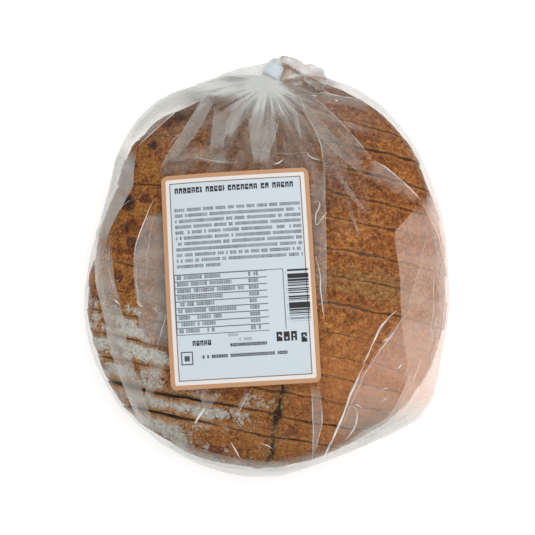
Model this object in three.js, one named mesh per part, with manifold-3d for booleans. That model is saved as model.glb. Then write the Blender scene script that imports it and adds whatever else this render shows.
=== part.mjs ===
// A round wholemeal loaf, cut into slices, lying on its flat base in a clear film bag.
// The bag is gathered at the back, taped at the neck, and carries a paper label on top.
// Millimetres, +Z up, +X to the right, +Y towards the neck, base at Z = 0.

import * as THREE from 'three';
import Module from 'manifold-3d';
import { mergeVertices } from 'three/addons/utils/BufferGeometryUtils.js';

const wasm = await Module();
wasm.setup();

const DEGREE = Math.PI / 180;

// The slices
const CUT_TURN = -11 * DEGREE; // the cuts fall to the right
// Cuts that the film follows before it draws in to the neck, counted from the middle of the bag
const CUTS = [-98, -85, -71, -57, -44, -30, -13, 4, 20, 39, 54, 71];
const CUT_DEPTH = 1.7;
const CUT_HALF_WIDTH = 1.7;
const UNEVEN_SLICE = 0.7; // how much one slice sits below its neighbours
const LAST_CUT = CUTS[CUTS.length - 1];

// The filled bag
const BAG_TOP = 64; // height of the film over the middle of the loaf
const WIDEST_HEIGHT = 27; // height at which the bag is widest
const BASE_DEPTH = 14; // how far the round of the underside would reach below the flat base
const DOME_FULLNESS = 2.6;
const DOME_SHOULDER = 1 / 2.2;
const BAG_MIDDLE = new THREE.Vector2(0, -4);
// Radii of the bag seen from above, one every 15 degrees, anticlockwise from the line of the cuts
const PLAN_RADII = [
  116.7, 114.8, 117.4, 122.5, 129, 133, 130.5, 130, 131, 132.5, 125.1, 113.8,
  111.9, 115.7, 120.3, 122.9, 125.2, 125.6, 127, 126.2, 122.2, 125.2, 131.5, 121.6
];

// The cross scored in the crust
const SCORE_DEPTH = 1.6;
const SCORE_HALF_WIDTH = 5;
const SCORE_MIDDLE = new THREE.Vector2(19, -17);
const SCORE_TURN = -10 * DEGREE; // the long arm leans to the right, nearly square to the cuts
const SCORE_FADE = 118;

// The fan of pleats, the neck and the tape
const NECK = new THREE.Vector3(1.2, 118.2, 44);
const NECK_AXIS = new THREE.Vector3(0.5, 0.86, 0.1).normalize();
const NECK_HALF_WIDTH = 5;
const NECK_HALF_HEIGHT = 4;
const FAN_RINGS = 13;
const FAN_LEAVES_RIGHT = 76 * DEGREE; // where the side folds leave the outline for the neck
const FAN_LEAVES_LEFT = 104 * DEGREE;
const PLEAT_DEPTH = 2.6;
const PLEAT_REACH = 60; // how far down the loaf the pleats run
const TAPE_START = 1.3;
const TAPE_LENGTH = 9;
const TAPE_THICKNESS = 0.5;
const TAPE_CLEARANCE = 0.4;

// The loose tail of the bag, past the tape
const TAIL_START = 3.5; // past the end of the tape
const TAIL_CURVE = [
  [15, 127.6, 47.5],
  [20, 123.6, 50],
  [28, 119, 51.5],
  [36, 113.5, 51.5]
];
const TAIL_HALF_WIDTH = 8;
const TAIL_HALF_THICKNESS = 1.5;
const TAIL_RINGS = 9;
const TAIL_POINTS = 36;
const TAIL_RAGGED = 3;
const TAIL_SLANT = 6; // the far edge is cut at a slant, longer on the side of the loaf

// The label
const LABEL_WIDTH = 90;
const LABEL_HEIGHT = 130;
const LABEL_CORNER = 5;
const LABEL_THICKNESS = 0.5;
const LABEL_GAP = 0.4;
const LABEL_MIDDLE = new THREE.Vector2(-16.5, -9.5);
const LABEL_TURN = 3.3 * DEGREE;

// Points round each cross-section of the bag
const TOP_POINTS = 46;
const BOTTOM_POINTS = 16;

const CUT_ALONG = new THREE.Vector2(Math.cos(CUT_TURN), Math.sin(CUT_TURN));
const CUT_ACROSS = new THREE.Vector2(-Math.sin(CUT_TURN), Math.cos(CUT_TURN));
const SCORE_SIDE = new THREE.Vector2(Math.cos(SCORE_TURN), Math.sin(SCORE_TURN));

function smooth(from, to, value) {
  const share = THREE.MathUtils.clamp((value - from) / (to - from), 0, 1);
  return share * share * (3 - 2 * share);
}

// A repeatable number from 0 to 1 for a counted thing
function scatter(count) {
  const value = Math.sin(count * 12.9898 + 4.1) * 43758.5453;
  return value - Math.floor(value);
}

const outline = new THREE.CatmullRomCurve3(
  PLAN_RADII.map((radius, i) => {
    const angle = (i / PLAN_RADII.length) * 2 * Math.PI + CUT_TURN;
    return new THREE.Vector3(BAG_MIDDLE.x + radius * Math.cos(angle), BAG_MIDDLE.y + radius * Math.sin(angle), 0);
  }),
  true
).getPoints(360);

// Distance from a point inside the bag to its outline, along a level direction
function reach(point, direction) {
  let nearest = Infinity;
  for (let i = 0; i < outline.length - 1; i++) {
    const from = outline[i];
    const edge = new THREE.Vector2(outline[i + 1].x - from.x, outline[i + 1].y - from.y);
    const across = direction.x * edge.y - direction.y * edge.x;
    if (Math.abs(across) < 1e-12) continue;
    const toEdge = new THREE.Vector2(from.x - point.x, from.y - point.y);
    const distance = (toEdge.x * edge.y - toEdge.y * edge.x) / across;
    const share = (toEdge.x * direction.y - toEdge.y * direction.x) / across;
    if (distance > 1e-6 && share >= 0 && share <= 1) nearest = Math.min(nearest, distance);
  }
  return nearest;
}

function outlinePoint(angle) {
  const direction = new THREE.Vector2(Math.cos(angle), Math.sin(angle));
  return BAG_MIDDLE.clone().addScaledVector(direction, reach(BAG_MIDDLE, direction));
}

// 1 in the middle of the bag and 0 at its outline
function roundness(x, y) {
  const offset = new THREE.Vector2(x - BAG_MIDDLE.x, y - BAG_MIDDLE.y);
  const length = offset.length();
  if (length < 1e-6) return 1;
  const share = Math.min(1, length / reach(BAG_MIDDLE, offset.divideScalar(length)));
  return Math.pow(1 - Math.pow(share, DOME_FULLNESS), DOME_SHOULDER);
}

function filmHeight(x, y) {
  return WIDEST_HEIGHT + (BAG_TOP - WIDEST_HEIGHT) * roundness(x, y);
}

function undersideHeight(x, y) {
  return Math.max(0, WIDEST_HEIGHT - (WIDEST_HEIGHT + BASE_DEPTH) * roundness(x, y));
}

// How far the scored cross lets the film down
function scoreRelief(x, y) {
  const offset = new THREE.Vector2(x, y).sub(SCORE_MIDDLE);
  const longArm = Math.abs(offset.dot(SCORE_SIDE)) / SCORE_HALF_WIDTH;
  const shortArm = Math.abs(offset.dot(CUT_ACROSS)) / SCORE_HALF_WIDTH;
  const fade = smooth(SCORE_FADE, 0, Math.abs(offset.dot(CUT_ALONG)));
  return SCORE_DEPTH * Math.max(Math.exp(-longArm * longArm), fade * Math.exp(-shortArm * shortArm));
}

// Pleats run along the lines of the mesh, every second point low
function pleatRelief(index) {
  return index % 2 === 0 ? PLEAT_DEPTH * (0.5 + 0.5 * scatter(index)) : 0;
}

// Angle of each point of a cross-section: over the top from right to left, back along the underside
const RING_ANGLES = [
  ...Array.from({ length: TOP_POINTS }, (_, i) => (Math.PI * i) / TOP_POINTS),
  ...Array.from({ length: BOTTOM_POINTS }, (_, i) => Math.PI * (1 + i / BOTTOM_POINTS))
];

// One cross-section of the filled bag, in an upright plane along the cuts
function section(distance, sink) {
  const middle = BAG_MIDDLE.clone().addScaledVector(CUT_ACROSS, distance);
  const right = middle.clone().addScaledVector(CUT_ALONG, reach(middle, CUT_ALONG));
  const left = middle.clone().addScaledVector(CUT_ALONG, -reach(middle, CUT_ALONG.clone().negate()));
  const pleats = 0.35 * smooth(LAST_CUT - PLEAT_REACH, LAST_CUT, distance);
  return RING_ANGLES.map((angle, i) => {
    const { x, y } = right.clone().lerp(left, (1 - Math.cos(angle)) / 2);
    if (i >= TOP_POINTS) return new THREE.Vector3(x, y, undersideHeight(x, y));
    const flatness = Math.sin(angle);
    const cut = sink * smooth(0, 0.5, flatness) + scoreRelief(x, y) * smooth(0.1, 0.6, flatness);
    return new THREE.Vector3(x, y, filmHeight(x, y) - cut - pleats * flatness * pleatRelief(i));
  });
}

// The slices show through the film: a shallow valley at each cut, and slices a little up or down
function sliceRings() {
  const front = -reach(BAG_MIDDLE, CUT_ACROSS.clone().negate());
  const rings = [0.997, 0.985, 0.96, 0.92].map((share) => section(front * share, 0));
  CUTS.forEach((cut, i) => {
    rings.push(section(cut - CUT_HALF_WIDTH, UNEVEN_SLICE * scatter(i)));
    rings.push(section(cut, CUT_DEPTH));
    rings.push(section(cut + CUT_HALF_WIDTH, UNEVEN_SLICE * scatter(i + 1)));
  });
  return rings;
}

const NECK_SIDE = new THREE.Vector3(NECK_AXIS.y, -NECK_AXIS.x, 0).normalize();
const NECK_UP = NECK_SIDE.clone().cross(NECK_AXIS).normalize();

function neckPoint(angle, along, shrink = 0) {
  return NECK.clone()
    .addScaledVector(NECK_AXIS, along)
    .addScaledVector(NECK_SIDE, (NECK_HALF_WIDTH - shrink) * Math.cos(angle))
    .addScaledVector(NECK_UP, (NECK_HALF_HEIGHT - shrink) * Math.sin(angle));
}

// A side fold of the fan: it keeps to the outline of the bag, then turns in to the neck
function sideFold(start, leaving, end) {
  const from = Math.atan2(start.y - BAG_MIDDLE.y, start.x - BAG_MIDDLE.x);
  const path = [0.25, 0.5, 0.75, 1].map((share) => outlinePoint(THREE.MathUtils.lerp(from, leaving, share)));
  const points = [start, ...path, end].map((p) => new THREE.Vector3(p.x, p.y, 0));
  return new THREE.CatmullRomCurve3(points);
}

// The film leaves the loaf and draws in to the neck, top and underside alike
function fanRings(last) {
  const ends = RING_ANGLES.map((angle) => neckPoint(angle, 0));
  const right = sideFold(last[0], FAN_LEAVES_RIGHT, ends[0]);
  const left = sideFold(last[TOP_POINTS], FAN_LEAVES_LEFT, ends[TOP_POINTS]);
  const rings = [];
  for (let k = 1; k <= FAN_RINGS; k++) {
    const share = Math.pow(k / FAN_RINGS, 0.85);
    const rightBow = right.getPointAt(share).sub(last[0].clone().lerp(ends[0], share));
    const leftBow = left.getPointAt(share).sub(last[TOP_POINTS].clone().lerp(ends[TOP_POINTS], share));
    const drawn = smooth(0.6, 1, share);
    const lifted = smooth(0.86, 1, share);
    rings.push(RING_ANGLES.map((angle, i) => {
      const point = last[i].clone().lerp(ends[i], share);
      const side = Math.cos(angle);
      point.addScaledVector(side > 0 ? rightBow : leftBow, side * side);
      if (i >= TOP_POINTS) {
        point.z = THREE.MathUtils.lerp(undersideHeight(point.x, point.y), ends[i].z, lifted * lifted);
        return point;
      }
      point.z = THREE.MathUtils.lerp(filmHeight(point.x, point.y), ends[i].z, drawn);
      const pleat = pleatRelief(i) * Math.sin(angle) * (0.35 + 0.65 * Math.sin(Math.PI * Math.pow(share, 1.5)));
      point.z -= share < 1 ? pleat : 0;
      return point;
    }));
  }
  return rings;
}

function neckRings() {
  return [TAPE_LENGTH / 2, TAPE_LENGTH + TAIL_START + 0.5].map((along) => RING_ANGLES.map((angle) => neckPoint(angle, along)));
}

// Past the tape the film opens again, pleated and ragged, and falls to the right
function tailRings() {
  const curve = new THREE.CatmullRomCurve3([
    NECK.clone().addScaledVector(NECK_AXIS, TAPE_LENGTH + TAIL_START),
    ...TAIL_CURVE.map((point) => new THREE.Vector3(...point))
  ]);
  const rings = [];
  for (let k = 0; k < TAIL_RINGS; k++) {
    const share = k / (TAIL_RINGS - 1);
    const middle = curve.getPointAt(share);
    const along = curve.getTangentAt(share);
    const side = new THREE.Vector3(along.y, -along.x, -0.25 * share).normalize();
    const up = side.clone().cross(along).normalize();
    const half = THREE.MathUtils.lerp(NECK_HALF_WIDTH - 0.8, TAIL_HALF_WIDTH, smooth(0.2, 1, share));
    const thick = THREE.MathUtils.lerp(NECK_HALF_HEIGHT - 0.8, TAIL_HALF_THICKNESS, smooth(0, 0.5, share));
    rings.push(Array.from({ length: TAIL_POINTS }, (_, i) => {
      const angle = (2 * Math.PI * i) / TAIL_POINTS;
      const across = Math.cos(angle);
      const wave = 1.5 * share * Math.sin(across * 8);
      const ragged = TAIL_RAGGED * (scatter(Math.round(4 * across)) - 0.5) + TAIL_SLANT * across;
      return middle.clone()
        .addScaledVector(side, half * across)
        .addScaledVector(up, thick * Math.sin(angle) + wave)
        .addScaledVector(along, ragged * smooth(0.6, 1, share));
    }));
  }
  return rings;
}

// Joins rings of equal length into one closed mesh, with a pole at each end
function loft(rings) {
  const count = rings[0].length;
  const positions = [];
  const index = [];
  const pole = (ring) => ring.reduce((sum, p) => sum.add(p), new THREE.Vector3()).divideScalar(count);
  for (const p of [...rings.flat(), pole(rings[0]), pole(rings[rings.length - 1])]) positions.push(p.x, p.y, p.z);
  for (let k = 0; k < rings.length - 1; k++) {
    for (let i = 0; i < count; i++) {
      const a = k * count + i;
      const b = k * count + ((i + 1) % count);
      index.push(a, b + count, b, a, a + count, b + count);
    }
  }
  const firstPole = rings.length * count;
  const lastRing = (rings.length - 1) * count;
  for (let i = 0; i < count; i++) {
    const next = (i + 1) % count;
    index.push(firstPole, i, next, firstPole + 1, lastRing + next, lastRing + i);
  }
  const geometry = new THREE.BufferGeometry();
  geometry.setAttribute('position', new THREE.Float32BufferAttribute(positions, 3));
  geometry.setIndex(index);
  return geometry;
}

function solidOf(geometry) {
  const merged = mergeVertices(geometry);
  return new wasm.Manifold(new wasm.Mesh({
    numProp: 3,
    vertProperties: new Float32Array(merged.attributes.position.array),
    triVerts: new Uint32Array(merged.index.array)
  }));
}

function geometryOf(solid) {
  const mesh = solid.getMesh();
  const geometry = new THREE.BufferGeometry();
  geometry.setAttribute('position', new THREE.Float32BufferAttribute(mesh.vertProperties, 3));
  geometry.setIndex(new THREE.Uint32BufferAttribute(mesh.triVerts, 1));
  return geometry;
}

function bagGeometry() {
  const slices = sliceRings();
  const fan = fanRings(slices[slices.length - 1]);
  const body = solidOf(loft([...slices, ...fan, ...neckRings()]));
  const tail = solidOf(loft(tailRings()));
  return geometryOf(body.add(tail));
}

function labelGeometry() {
  const sheet = new THREE.BoxGeometry(LABEL_WIDTH, LABEL_HEIGHT, LABEL_THICKNESS, 14, 20, 1);
  sheet.deleteAttribute('normal');
  sheet.deleteAttribute('uv');
  const geometry = mergeVertices(sheet);
  const position = geometry.attributes.position;
  const centre = new THREE.Vector2();
  for (let i = 0; i < position.count; i++) {
    const point = new THREE.Vector2(position.getX(i), position.getY(i));
    const corner = new THREE.Vector2(
      Math.sign(point.x) * (LABEL_WIDTH / 2 - LABEL_CORNER),
      Math.sign(point.y) * (LABEL_HEIGHT / 2 - LABEL_CORNER)
    );
    const past = point.clone().sub(corner);
    if (past.x * corner.x > 0 && past.y * corner.y > 0) point.copy(corner).add(past.clampLength(0, LABEL_CORNER));
    point.rotateAround(centre, LABEL_TURN).add(LABEL_MIDDLE);
    const lift = LABEL_GAP + (position.getZ(i) > 0 ? LABEL_THICKNESS : 0);
    position.setXYZ(i, point.x, point.y, filmHeight(point.x, point.y) + lift);
  }
  return geometry;
}

function tapeGeometry() {
  const ellipse = (path, grow) =>
    path.absellipse(0, 0, NECK_HALF_WIDTH + grow, NECK_HALF_HEIGHT + grow, 0, 2 * Math.PI);
  const shape = ellipse(new THREE.Shape(), TAPE_CLEARANCE + TAPE_THICKNESS);
  shape.holes.push(ellipse(new THREE.Path(), TAPE_CLEARANCE));
  return new THREE.ExtrudeGeometry(shape, { depth: TAPE_LENGTH, bevelEnabled: false, curveSegments: 32 });
}

function mesh(name, geometry, color, roughness) {
  const part = new THREE.Mesh(geometry, new THREE.MeshStandardMaterial({ color, roughness, metalness: 0 }));
  part.name = name;
  return part;
}

const pack = new THREE.Group();

const bag = mesh('bag', bagGeometry(), 0xb8845a, 0.25);
const label = mesh('label', labelGeometry(), 0xdfe5ea, 0.5);
const tape = mesh('tape', tapeGeometry(), 0xccd6de, 0.35);
tape.position.copy(NECK).addScaledVector(NECK_AXIS, TAPE_START);
tape.quaternion.setFromRotationMatrix(
  new THREE.Matrix4().makeBasis(NECK_SIDE.clone().negate(), NECK_UP, NECK_AXIS)
);
pack.add(bag, label, tape);

// The origin is under the middle of the whole pack, on the surface it lies on
const bounds = new THREE.Box3().setFromObject(pack, true);
pack.position.set(-(bounds.min.x + bounds.max.x) / 2, -(bounds.min.y + bounds.max.y) / 2, -bounds.min.z);

export default pack;
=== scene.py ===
"""A sliced wholemeal loaf in a clear film bag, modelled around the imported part.

The loaf is one round dome cut into slices. The film takes its shape from the part's own bag,
and the folds that show as milky panels and bright lines are thin sheets laid on it.
"""

import math

import bpy
import numpy as np
from bpy.props import FloatProperty, FloatVectorProperty, IntProperty, PointerProperty
from bpy.types import Operator, Panel, PropertyGroup
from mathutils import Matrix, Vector, noise
from mathutils.bvhtree import BVHTree


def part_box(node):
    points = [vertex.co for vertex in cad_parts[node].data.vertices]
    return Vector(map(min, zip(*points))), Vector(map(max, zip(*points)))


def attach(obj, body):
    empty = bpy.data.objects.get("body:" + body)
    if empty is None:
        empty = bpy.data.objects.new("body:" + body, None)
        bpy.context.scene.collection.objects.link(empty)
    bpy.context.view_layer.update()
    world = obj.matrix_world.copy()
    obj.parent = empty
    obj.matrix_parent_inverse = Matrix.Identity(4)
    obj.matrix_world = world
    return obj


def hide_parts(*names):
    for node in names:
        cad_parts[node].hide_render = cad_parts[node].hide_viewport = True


bl_info = {
    "name": "Loaf in bread bag",
    "version": (1, 0, 0),
    "blender": (4, 5, 0),
    "location": "View3D > Sidebar > Bread",
    "description": "Models a sliced round loaf in a clear film bag with a label",
    "category": "Object",
}

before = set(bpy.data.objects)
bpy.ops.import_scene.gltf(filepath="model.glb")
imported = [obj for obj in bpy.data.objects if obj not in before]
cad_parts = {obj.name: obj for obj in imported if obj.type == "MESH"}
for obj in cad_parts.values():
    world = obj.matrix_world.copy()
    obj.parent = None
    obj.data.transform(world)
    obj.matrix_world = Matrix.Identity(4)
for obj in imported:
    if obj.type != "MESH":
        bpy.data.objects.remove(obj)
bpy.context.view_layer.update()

MM = 0.001
BODY = "root"

# The plan of the pack, in millimetres of the part's frame
PLAN_MIDDLE = (0.4, -5.1)
CUT_TURN = math.radians(-11)
CUT_ALONG = (math.cos(CUT_TURN), math.sin(CUT_TURN))
CUT_ACROSS = (-math.sin(CUT_TURN), math.cos(CUT_TURN))
# Cuts between the slices, counted from the middle of the pack, front to back
CUTS = (-98, -85, -71, -57, -44, -30, -13, 4, 20, 39, 54, 71, 87, 102)
# Radii of the loaf seen from above, every 15 degrees anticlockwise from +X in millimetres
LOAF_RADII = (
    113, 114.3, 118, 124.5, 129, 128.5, 125, 121, 121.5, 120.5, 112.5, 110,
    112.7, 117.2, 120.3, 122.6, 122.8, 122, 120.8, 118.8, 118.5, 120, 119, 115.5,
)
# Heights of the loaf's widest place and of its flat foot, in millimetres
LOAF_WIDEST = 24
LOAF_FOOT = 0.9
# Where the film is gathered, in plan
GATHER = (0.5, 113.5)
# Height over the floor from which the top is searched downwards, in metres
RAY_START = 0.2
# Points of a mesh that are closer than this are one point, in metres
MERGE_GAP = 0.02 * MM

# The seams, in the order of the cuts: gap in millimetres at the left and at the right end,
# and how clearly the seam shows at the left and at the right end
SEAMS = (
    (3.0, 0.4, 1.0, 0.8), (2.8, 0.5, 1.0, 1.0), (0.6, 0.3, 0.4, 0.75), (0.3, 0.4, 0.2, 1.0),
    (0.2, 0.1, 0.15, 0.15), (0.1, 0.1, 0.15, 0.3), (0.2, 0.4, 0.2, 0.95), (0.2, 0.3, 0.3, 0.75),
    (0.2, 0.4, 0.15, 0.9), (0.2, 0.3, 0.2, 0.7), (0.2, 0.5, 0.15, 0.95), (0.2, 0.6, 0.15, 1.0),
    (0.3, 0.7, 0.3, 1.0), (0.3, 0.5, 0.5, 1.0),
)


def smooth(low, high, value):
    """0 below low, 1 above high and an even curve between them."""
    share = min(1.0, max(0.0, (value - low) / (high - low)))
    return share * share * (3 - 2 * share)


def ripple(x, y, z, size, seed=0.0):
    """Smooth noise from about -1 to 1, with lumps of the given size."""
    return noise.noise(Vector((x / size + seed, y / size - seed, z / size + 3 * seed)))


def along_cut(x, y):
    return (x - PLAN_MIDDLE[0]) * CUT_ALONG[0] + (y - PLAN_MIDDLE[1]) * CUT_ALONG[1]


def across_cut(x, y):
    return (x - PLAN_MIDDLE[0]) * CUT_ACROSS[0] + (y - PLAN_MIDDLE[1]) * CUT_ACROSS[1]


def loaf_radius(angle):
    """Radius of the loaf in the direction of an angle, from a closed smooth curve."""
    count = len(LOAF_RADII)
    place = (angle / (2 * math.pi)) % 1.0 * count
    start = int(place)
    share = place - start
    before, first, second, after = (LOAF_RADII[(start + step) % count] for step in (-1, 0, 1, 2))
    return first + 0.5 * share * (
        second - before
        + share * (2 * before - 5 * first + 4 * second - after
                   + share * (3 * (first - second) + after - before))
    )


# Materials


class Wire:
    """A socket of a material, with arithmetic that adds Math nodes."""

    def __init__(self, paint, socket):
        self.paint = paint
        self.socket = socket

    def math(self, operation, *values):
        return self.paint.node("ShaderNodeMath", {"operation": operation}, dict(enumerate(values)))

    def __add__(self, other):
        return self.math("ADD", self, other)

    __radd__ = __add__

    def __sub__(self, other):
        return self.math("SUBTRACT", self, other)

    def __rsub__(self, other):
        return self.math("SUBTRACT", other, self)

    def __mul__(self, other):
        return self.math("MULTIPLY", self, other)

    __rmul__ = __mul__

    def __truediv__(self, other):
        return self.math("DIVIDE", self, other)

    def __pow__(self, other):
        return self.math("POWER", self, other)

    def __gt__(self, other):
        return self.math("GREATER_THAN", self, other)

    def __lt__(self, other):
        return self.math("LESS_THAN", self, other)

    def most(self, other):
        return self.math("MAXIMUM", self, other)

    def least(self, other):
        return self.math("MINIMUM", self, other)

    def between(self, low, high):
        """1 where the value lies between two limits, and 0 elsewhere."""
        return (self > low) * (self < high)

    def ease(self, low, high):
        """0 below low and 1 above high, with a smooth step between."""
        settings = {"interpolation_type": "SMOOTHSTEP"}
        return self.paint.node("ShaderNodeMapRange", settings, {0: self, 1: low, 2: high})

    def ramp(self, *stops):
        """A colour from a list of (position, colour) stops."""
        return self.paint.node("ShaderNodeValToRGB", {"stops": stops}, {0: self})


class Paint:
    """A material that is made node by node."""

    def __init__(self, name):
        self.material = bpy.data.materials.new(name)
        self.material.use_nodes = True
        self.tree = self.material.node_tree
        self.tree.nodes.clear()

    def node(self, kind, settings=None, sockets=None, out=0):
        """Adds a node, sets it, fills its sockets with values or links, and returns an output."""
        made = self.tree.nodes.new(kind)
        for key, value in (settings or {}).items():
            if key == "stops":
                self.set_stops(made.color_ramp, value)
            else:
                setattr(made, key, value)
        for key, value in (sockets or {}).items():
            if isinstance(value, Wire):
                self.tree.links.new(value.socket, made.inputs[key])
            else:
                made.inputs[key].default_value = value
        return Wire(self, made.outputs[out]) if made.outputs else None

    @staticmethod
    def set_stops(ramp, stops):
        while len(ramp.elements) < len(stops):
            ramp.elements.new(0.5)
        for element, (position, colour) in zip(ramp.elements, stops):
            element.position = position
            element.color = (*colour, 1)

    def place(self):
        """Object coordinates in millimetres."""
        spot = self.node("ShaderNodeTexCoord", out=3)
        return self.node("ShaderNodeVectorMath", {"operation": "SCALE"}, {0: spot, 3: 1 / MM})

    def split(self, vector):
        return [self.node("ShaderNodeSeparateXYZ", {}, {0: vector}, out) for out in range(3)]

    def join(self, x, y, z=0.0):
        return self.node("ShaderNodeCombineXYZ", {}, {0: x, 1: y, 2: z})

    def stored(self, name):
        """A number stored on the mesh's points."""
        return self.node("ShaderNodeAttribute", {"attribute_name": name}, out=2)

    def noise(self, spot, size, detail=3.0, roughness=0.55):
        """Noise from 0 to 1, with lumps of the given size in millimetres."""
        sockets = {"Vector": spot, "Scale": 1 / size, "Detail": detail, "Roughness": roughness}
        return self.node("ShaderNodeTexNoise", {}, sockets)

    def cells(self, spot, size):
        """Distance from the middle of the nearest of many small cells."""
        return self.node("ShaderNodeTexVoronoi", {"feature": "F1"}, {"Vector": spot, "Scale": 1 / size})

    def speckle(self, vector):
        return self.node("ShaderNodeTexWhiteNoise", {"noise_dimensions": "3D"}, {0: vector})

    def blend(self, factor, under, over):
        """Lays one colour over another."""
        under, over = (c if isinstance(c, Wire) else (*c, 1) for c in (under, over))
        return self.node("ShaderNodeMix", {"data_type": "RGBA"}, {0: factor, 6: under, 7: over}, 2)

    def bump(self, height, distance, strength=1.0, under=None):
        """A normal from a height of 0 to 1, which stands for the distance in millimetres."""
        sockets = {"Height": height, "Distance": distance * MM, "Strength": strength}
        if under:
            sockets["Normal"] = under
        return self.node("ShaderNodeBump", {}, sockets)

    def finish(self, shader):
        self.node("ShaderNodeOutputMaterial", {}, {0: shader})
        return self.material

    def plain_shader(self, **sockets):
        names = {key.replace("_", " "): value for key, value in sockets.items()}
        for key, value in names.items():
            if isinstance(value, tuple) and len(value) == 3:
                names[key] = (*value, 1)
        return self.node("ShaderNodeBsdfPrincipled", {}, names)


def linear(red, green, blue):
    """A screen colour, 0 to 255, as the linear colour that materials take."""
    return tuple(
        (c / 255) / 12.92 if c <= 10 else ((c / 255 + 0.055) / 1.055) ** 2.4 for c in (red, green, blue)
    )


def crust_material(settings):
    """Brown crust with darker and paler grain, rubbed flour and torn, greyish score marks, painted shade in
    the seams, in the score and under the film's folds, and golden crumbs with a painted highlight along the
    slice edges.
    """
    paint = Paint("crust")
    spot = paint.place()
    broad = paint.noise(spot, 26, 3)
    mottle = paint.noise(spot, 7, 5, 0.62)
    grain = paint.noise(spot, 1.3, 5, 0.75)
    blotch = paint.noise(spot, 3.0, 4, 0.6)
    uneven, gritty = mottle - 0.5, grain - 0.5
    tone = broad * 0.3 + mottle * 0.3 + blotch * 0.85 + grain * 1.05 - 0.75
    brown = tone.ramp(
        (0.24, linear(78, 38, 13)),
        (0.39, linear(126, 70, 27)),
        (0.52, tuple(settings.crust_colour)),
        (0.64, linear(192, 126, 60)),
        (0.8, linear(218, 162, 98)),
    )
    flecks = paint.cells(spot, 1.5)
    pale_flecks = (1 - flecks.ease(0.1, 0.3)) * grain.ease(0.5, 0.6)
    brown = paint.blend(pale_flecks * 0.6, brown, linear(220, 168, 110))
    specks = 1 - paint.cells(spot, 1.9).ease(0.12, 0.26)
    brown = paint.blend(specks * paint.noise(spot, 5, 2).ease(0.46, 0.6) * 0.75, brown, linear(72, 34, 13))
    pits = paint.cells(spot, 5.5).ease(0.08, 0.2)
    brown = paint.blend((1 - pits) * mottle.ease(0.42, 0.58) * 0.85, brown, linear(56, 28, 14))
    burnt = paint.stored("scorch")
    scorch = paint.noise(spot, 12, 5, 0.65)
    golden = paint.blend(grain.ease(0.4, 0.62), linear(134, 78, 26), linear(200, 138, 62))
    brown = paint.blend(burnt * scorch.ease(0.44, 0.5) * 0.8, brown, golden)
    dark = paint.blend(grain.ease(0.42, 0.62), linear(58, 26, 12), linear(138, 62, 26))
    brown = paint.blend(burnt * (1 - scorch.ease(0.37, 0.45)) * 0.75, brown, dark)
    near_pit = paint.stored("pit")
    pit = (near_pit + uneven * 3.4 + gritty * 1.2) * near_pit.ease(0.04, 0.3)
    brown = paint.blend(pit.ease(0.3, 0.5) * 0.75, brown, dark)
    brown = paint.blend(pit.ease(0.75, 1.0) * 0.9, brown, linear(40, 24, 15))
    east, north, _ = paint.split(spot)
    paler = east.ease(0, 55) * (1 - north.ease(-70, -20))
    brown = paint.blend(paler * 0.4, brown, linear(222, 152, 96))

    torn = paint.stored("torn")
    torn_tone = paint.noise(spot, 2.6, 6, 0.8).ramp(
        (0.34, linear(76, 48, 22)),
        (0.45, linear(140, 92, 40)),
        (0.55, linear(176, 130, 70)),
        (0.68, linear(210, 182, 140)),
    )
    ragged = paint.noise(spot, 9, 5, 0.7)
    opened = (torn + (ragged - 0.5) * 2.4 * (torn > 0.02)).ease(0.4, 0.7)
    colour = paint.blend(opened * 0.8, brown, torn_tone)

    flour = paint.stored("flour")
    rim = paint.stored("rim")
    kept = (rim + uneven * 10).ease(0.4, 3.8)
    dust = flour * 1.2 + uneven * 2.2 + gritty * 1.9 + (broad - 0.5) * 1.3
    cover = dust.ease(0.36, 0.86) * (kept * 0.9 + 0.1) * (flour > 0.01)
    crumbs = paint.blend(grain.ease(0.4, 0.6), linear(120, 66, 24), linear(206, 150, 82))
    colour = paint.blend((1 - kept) * flour.ease(0.1, 0.5) * 0.7, colour, crumbs)
    flour_tone = paint.noise(spot, 1.6, 5, 0.7).ramp(
        (0.34, linear(136, 124, 104)),
        (0.46, tuple(settings.flour_colour)),
        (0.6, linear(222, 227, 220)),
    )
    colour = paint.blend(cover * 0.92, colour, flour_tone)
    # Golden crumbs with a painted highlight along the slice edges beside each cut
    edge_crumbs_and_highlight = (rim + uneven * 2.2).ease(0.4, 1.0)
    edge_crumbs_and_highlight = edge_crumbs_and_highlight * (1 - (rim + gritty * 4 + uneven * 5).ease(0.8, 2.6))
    seam = paint.stored("seam")
    shown = (paint.noise(spot, 12, 4) + seam * 0.55).ease(0.66, 0.98)
    colour = paint.blend(edge_crumbs_and_highlight * shown * 0.42, colour, linear(206, 140, 72))
    # Painted shade: a dark ragged line along each cut, in the gap between the slices
    score_crack_and_seam_shade = 1 - (rim + gritty * 2.2 + uneven * 1.6).ease(-0.3, 0.45)
    colour = paint.blend(score_crack_and_seam_shade * shown * 0.9, colour, linear(44, 25, 13))
    score = paint.stored("score")
    # Painted shade: near black inside the open score, wider where a seam meets it
    notch_shade = (1 - rim / 5).most(0.0) * (seam > 0.8) * paint.noise(spot, 7, 2).ease(0.36, 0.56) * 3.6
    score_shade = 1 - (score - notch_shade + uneven * 7 + gritty * 3).ease(0.2, 1.8)
    colour = paint.blend(score_shade * 0.94, colour, linear(32, 20, 12))
    # Painted shade: darkens the crust under the fan of folded film, beside the label, right of the fan,
    # towards the back and towards the front
    shade = paint.stored("shade")
    colour = paint.blend(shade, colour, linear(58, 34, 22))

    coarse = paint.bump(mottle, 2.2)
    fine = paint.bump(grain + flecks * 0.5 + (1 - pits) * -0.8, 1.1, under=coarse)
    shader = paint.plain_shader(Base_Color=colour, Roughness=0.85, Specular_IOR_Level=0.12, Normal=fine)
    return paint.finish(shader)


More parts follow.
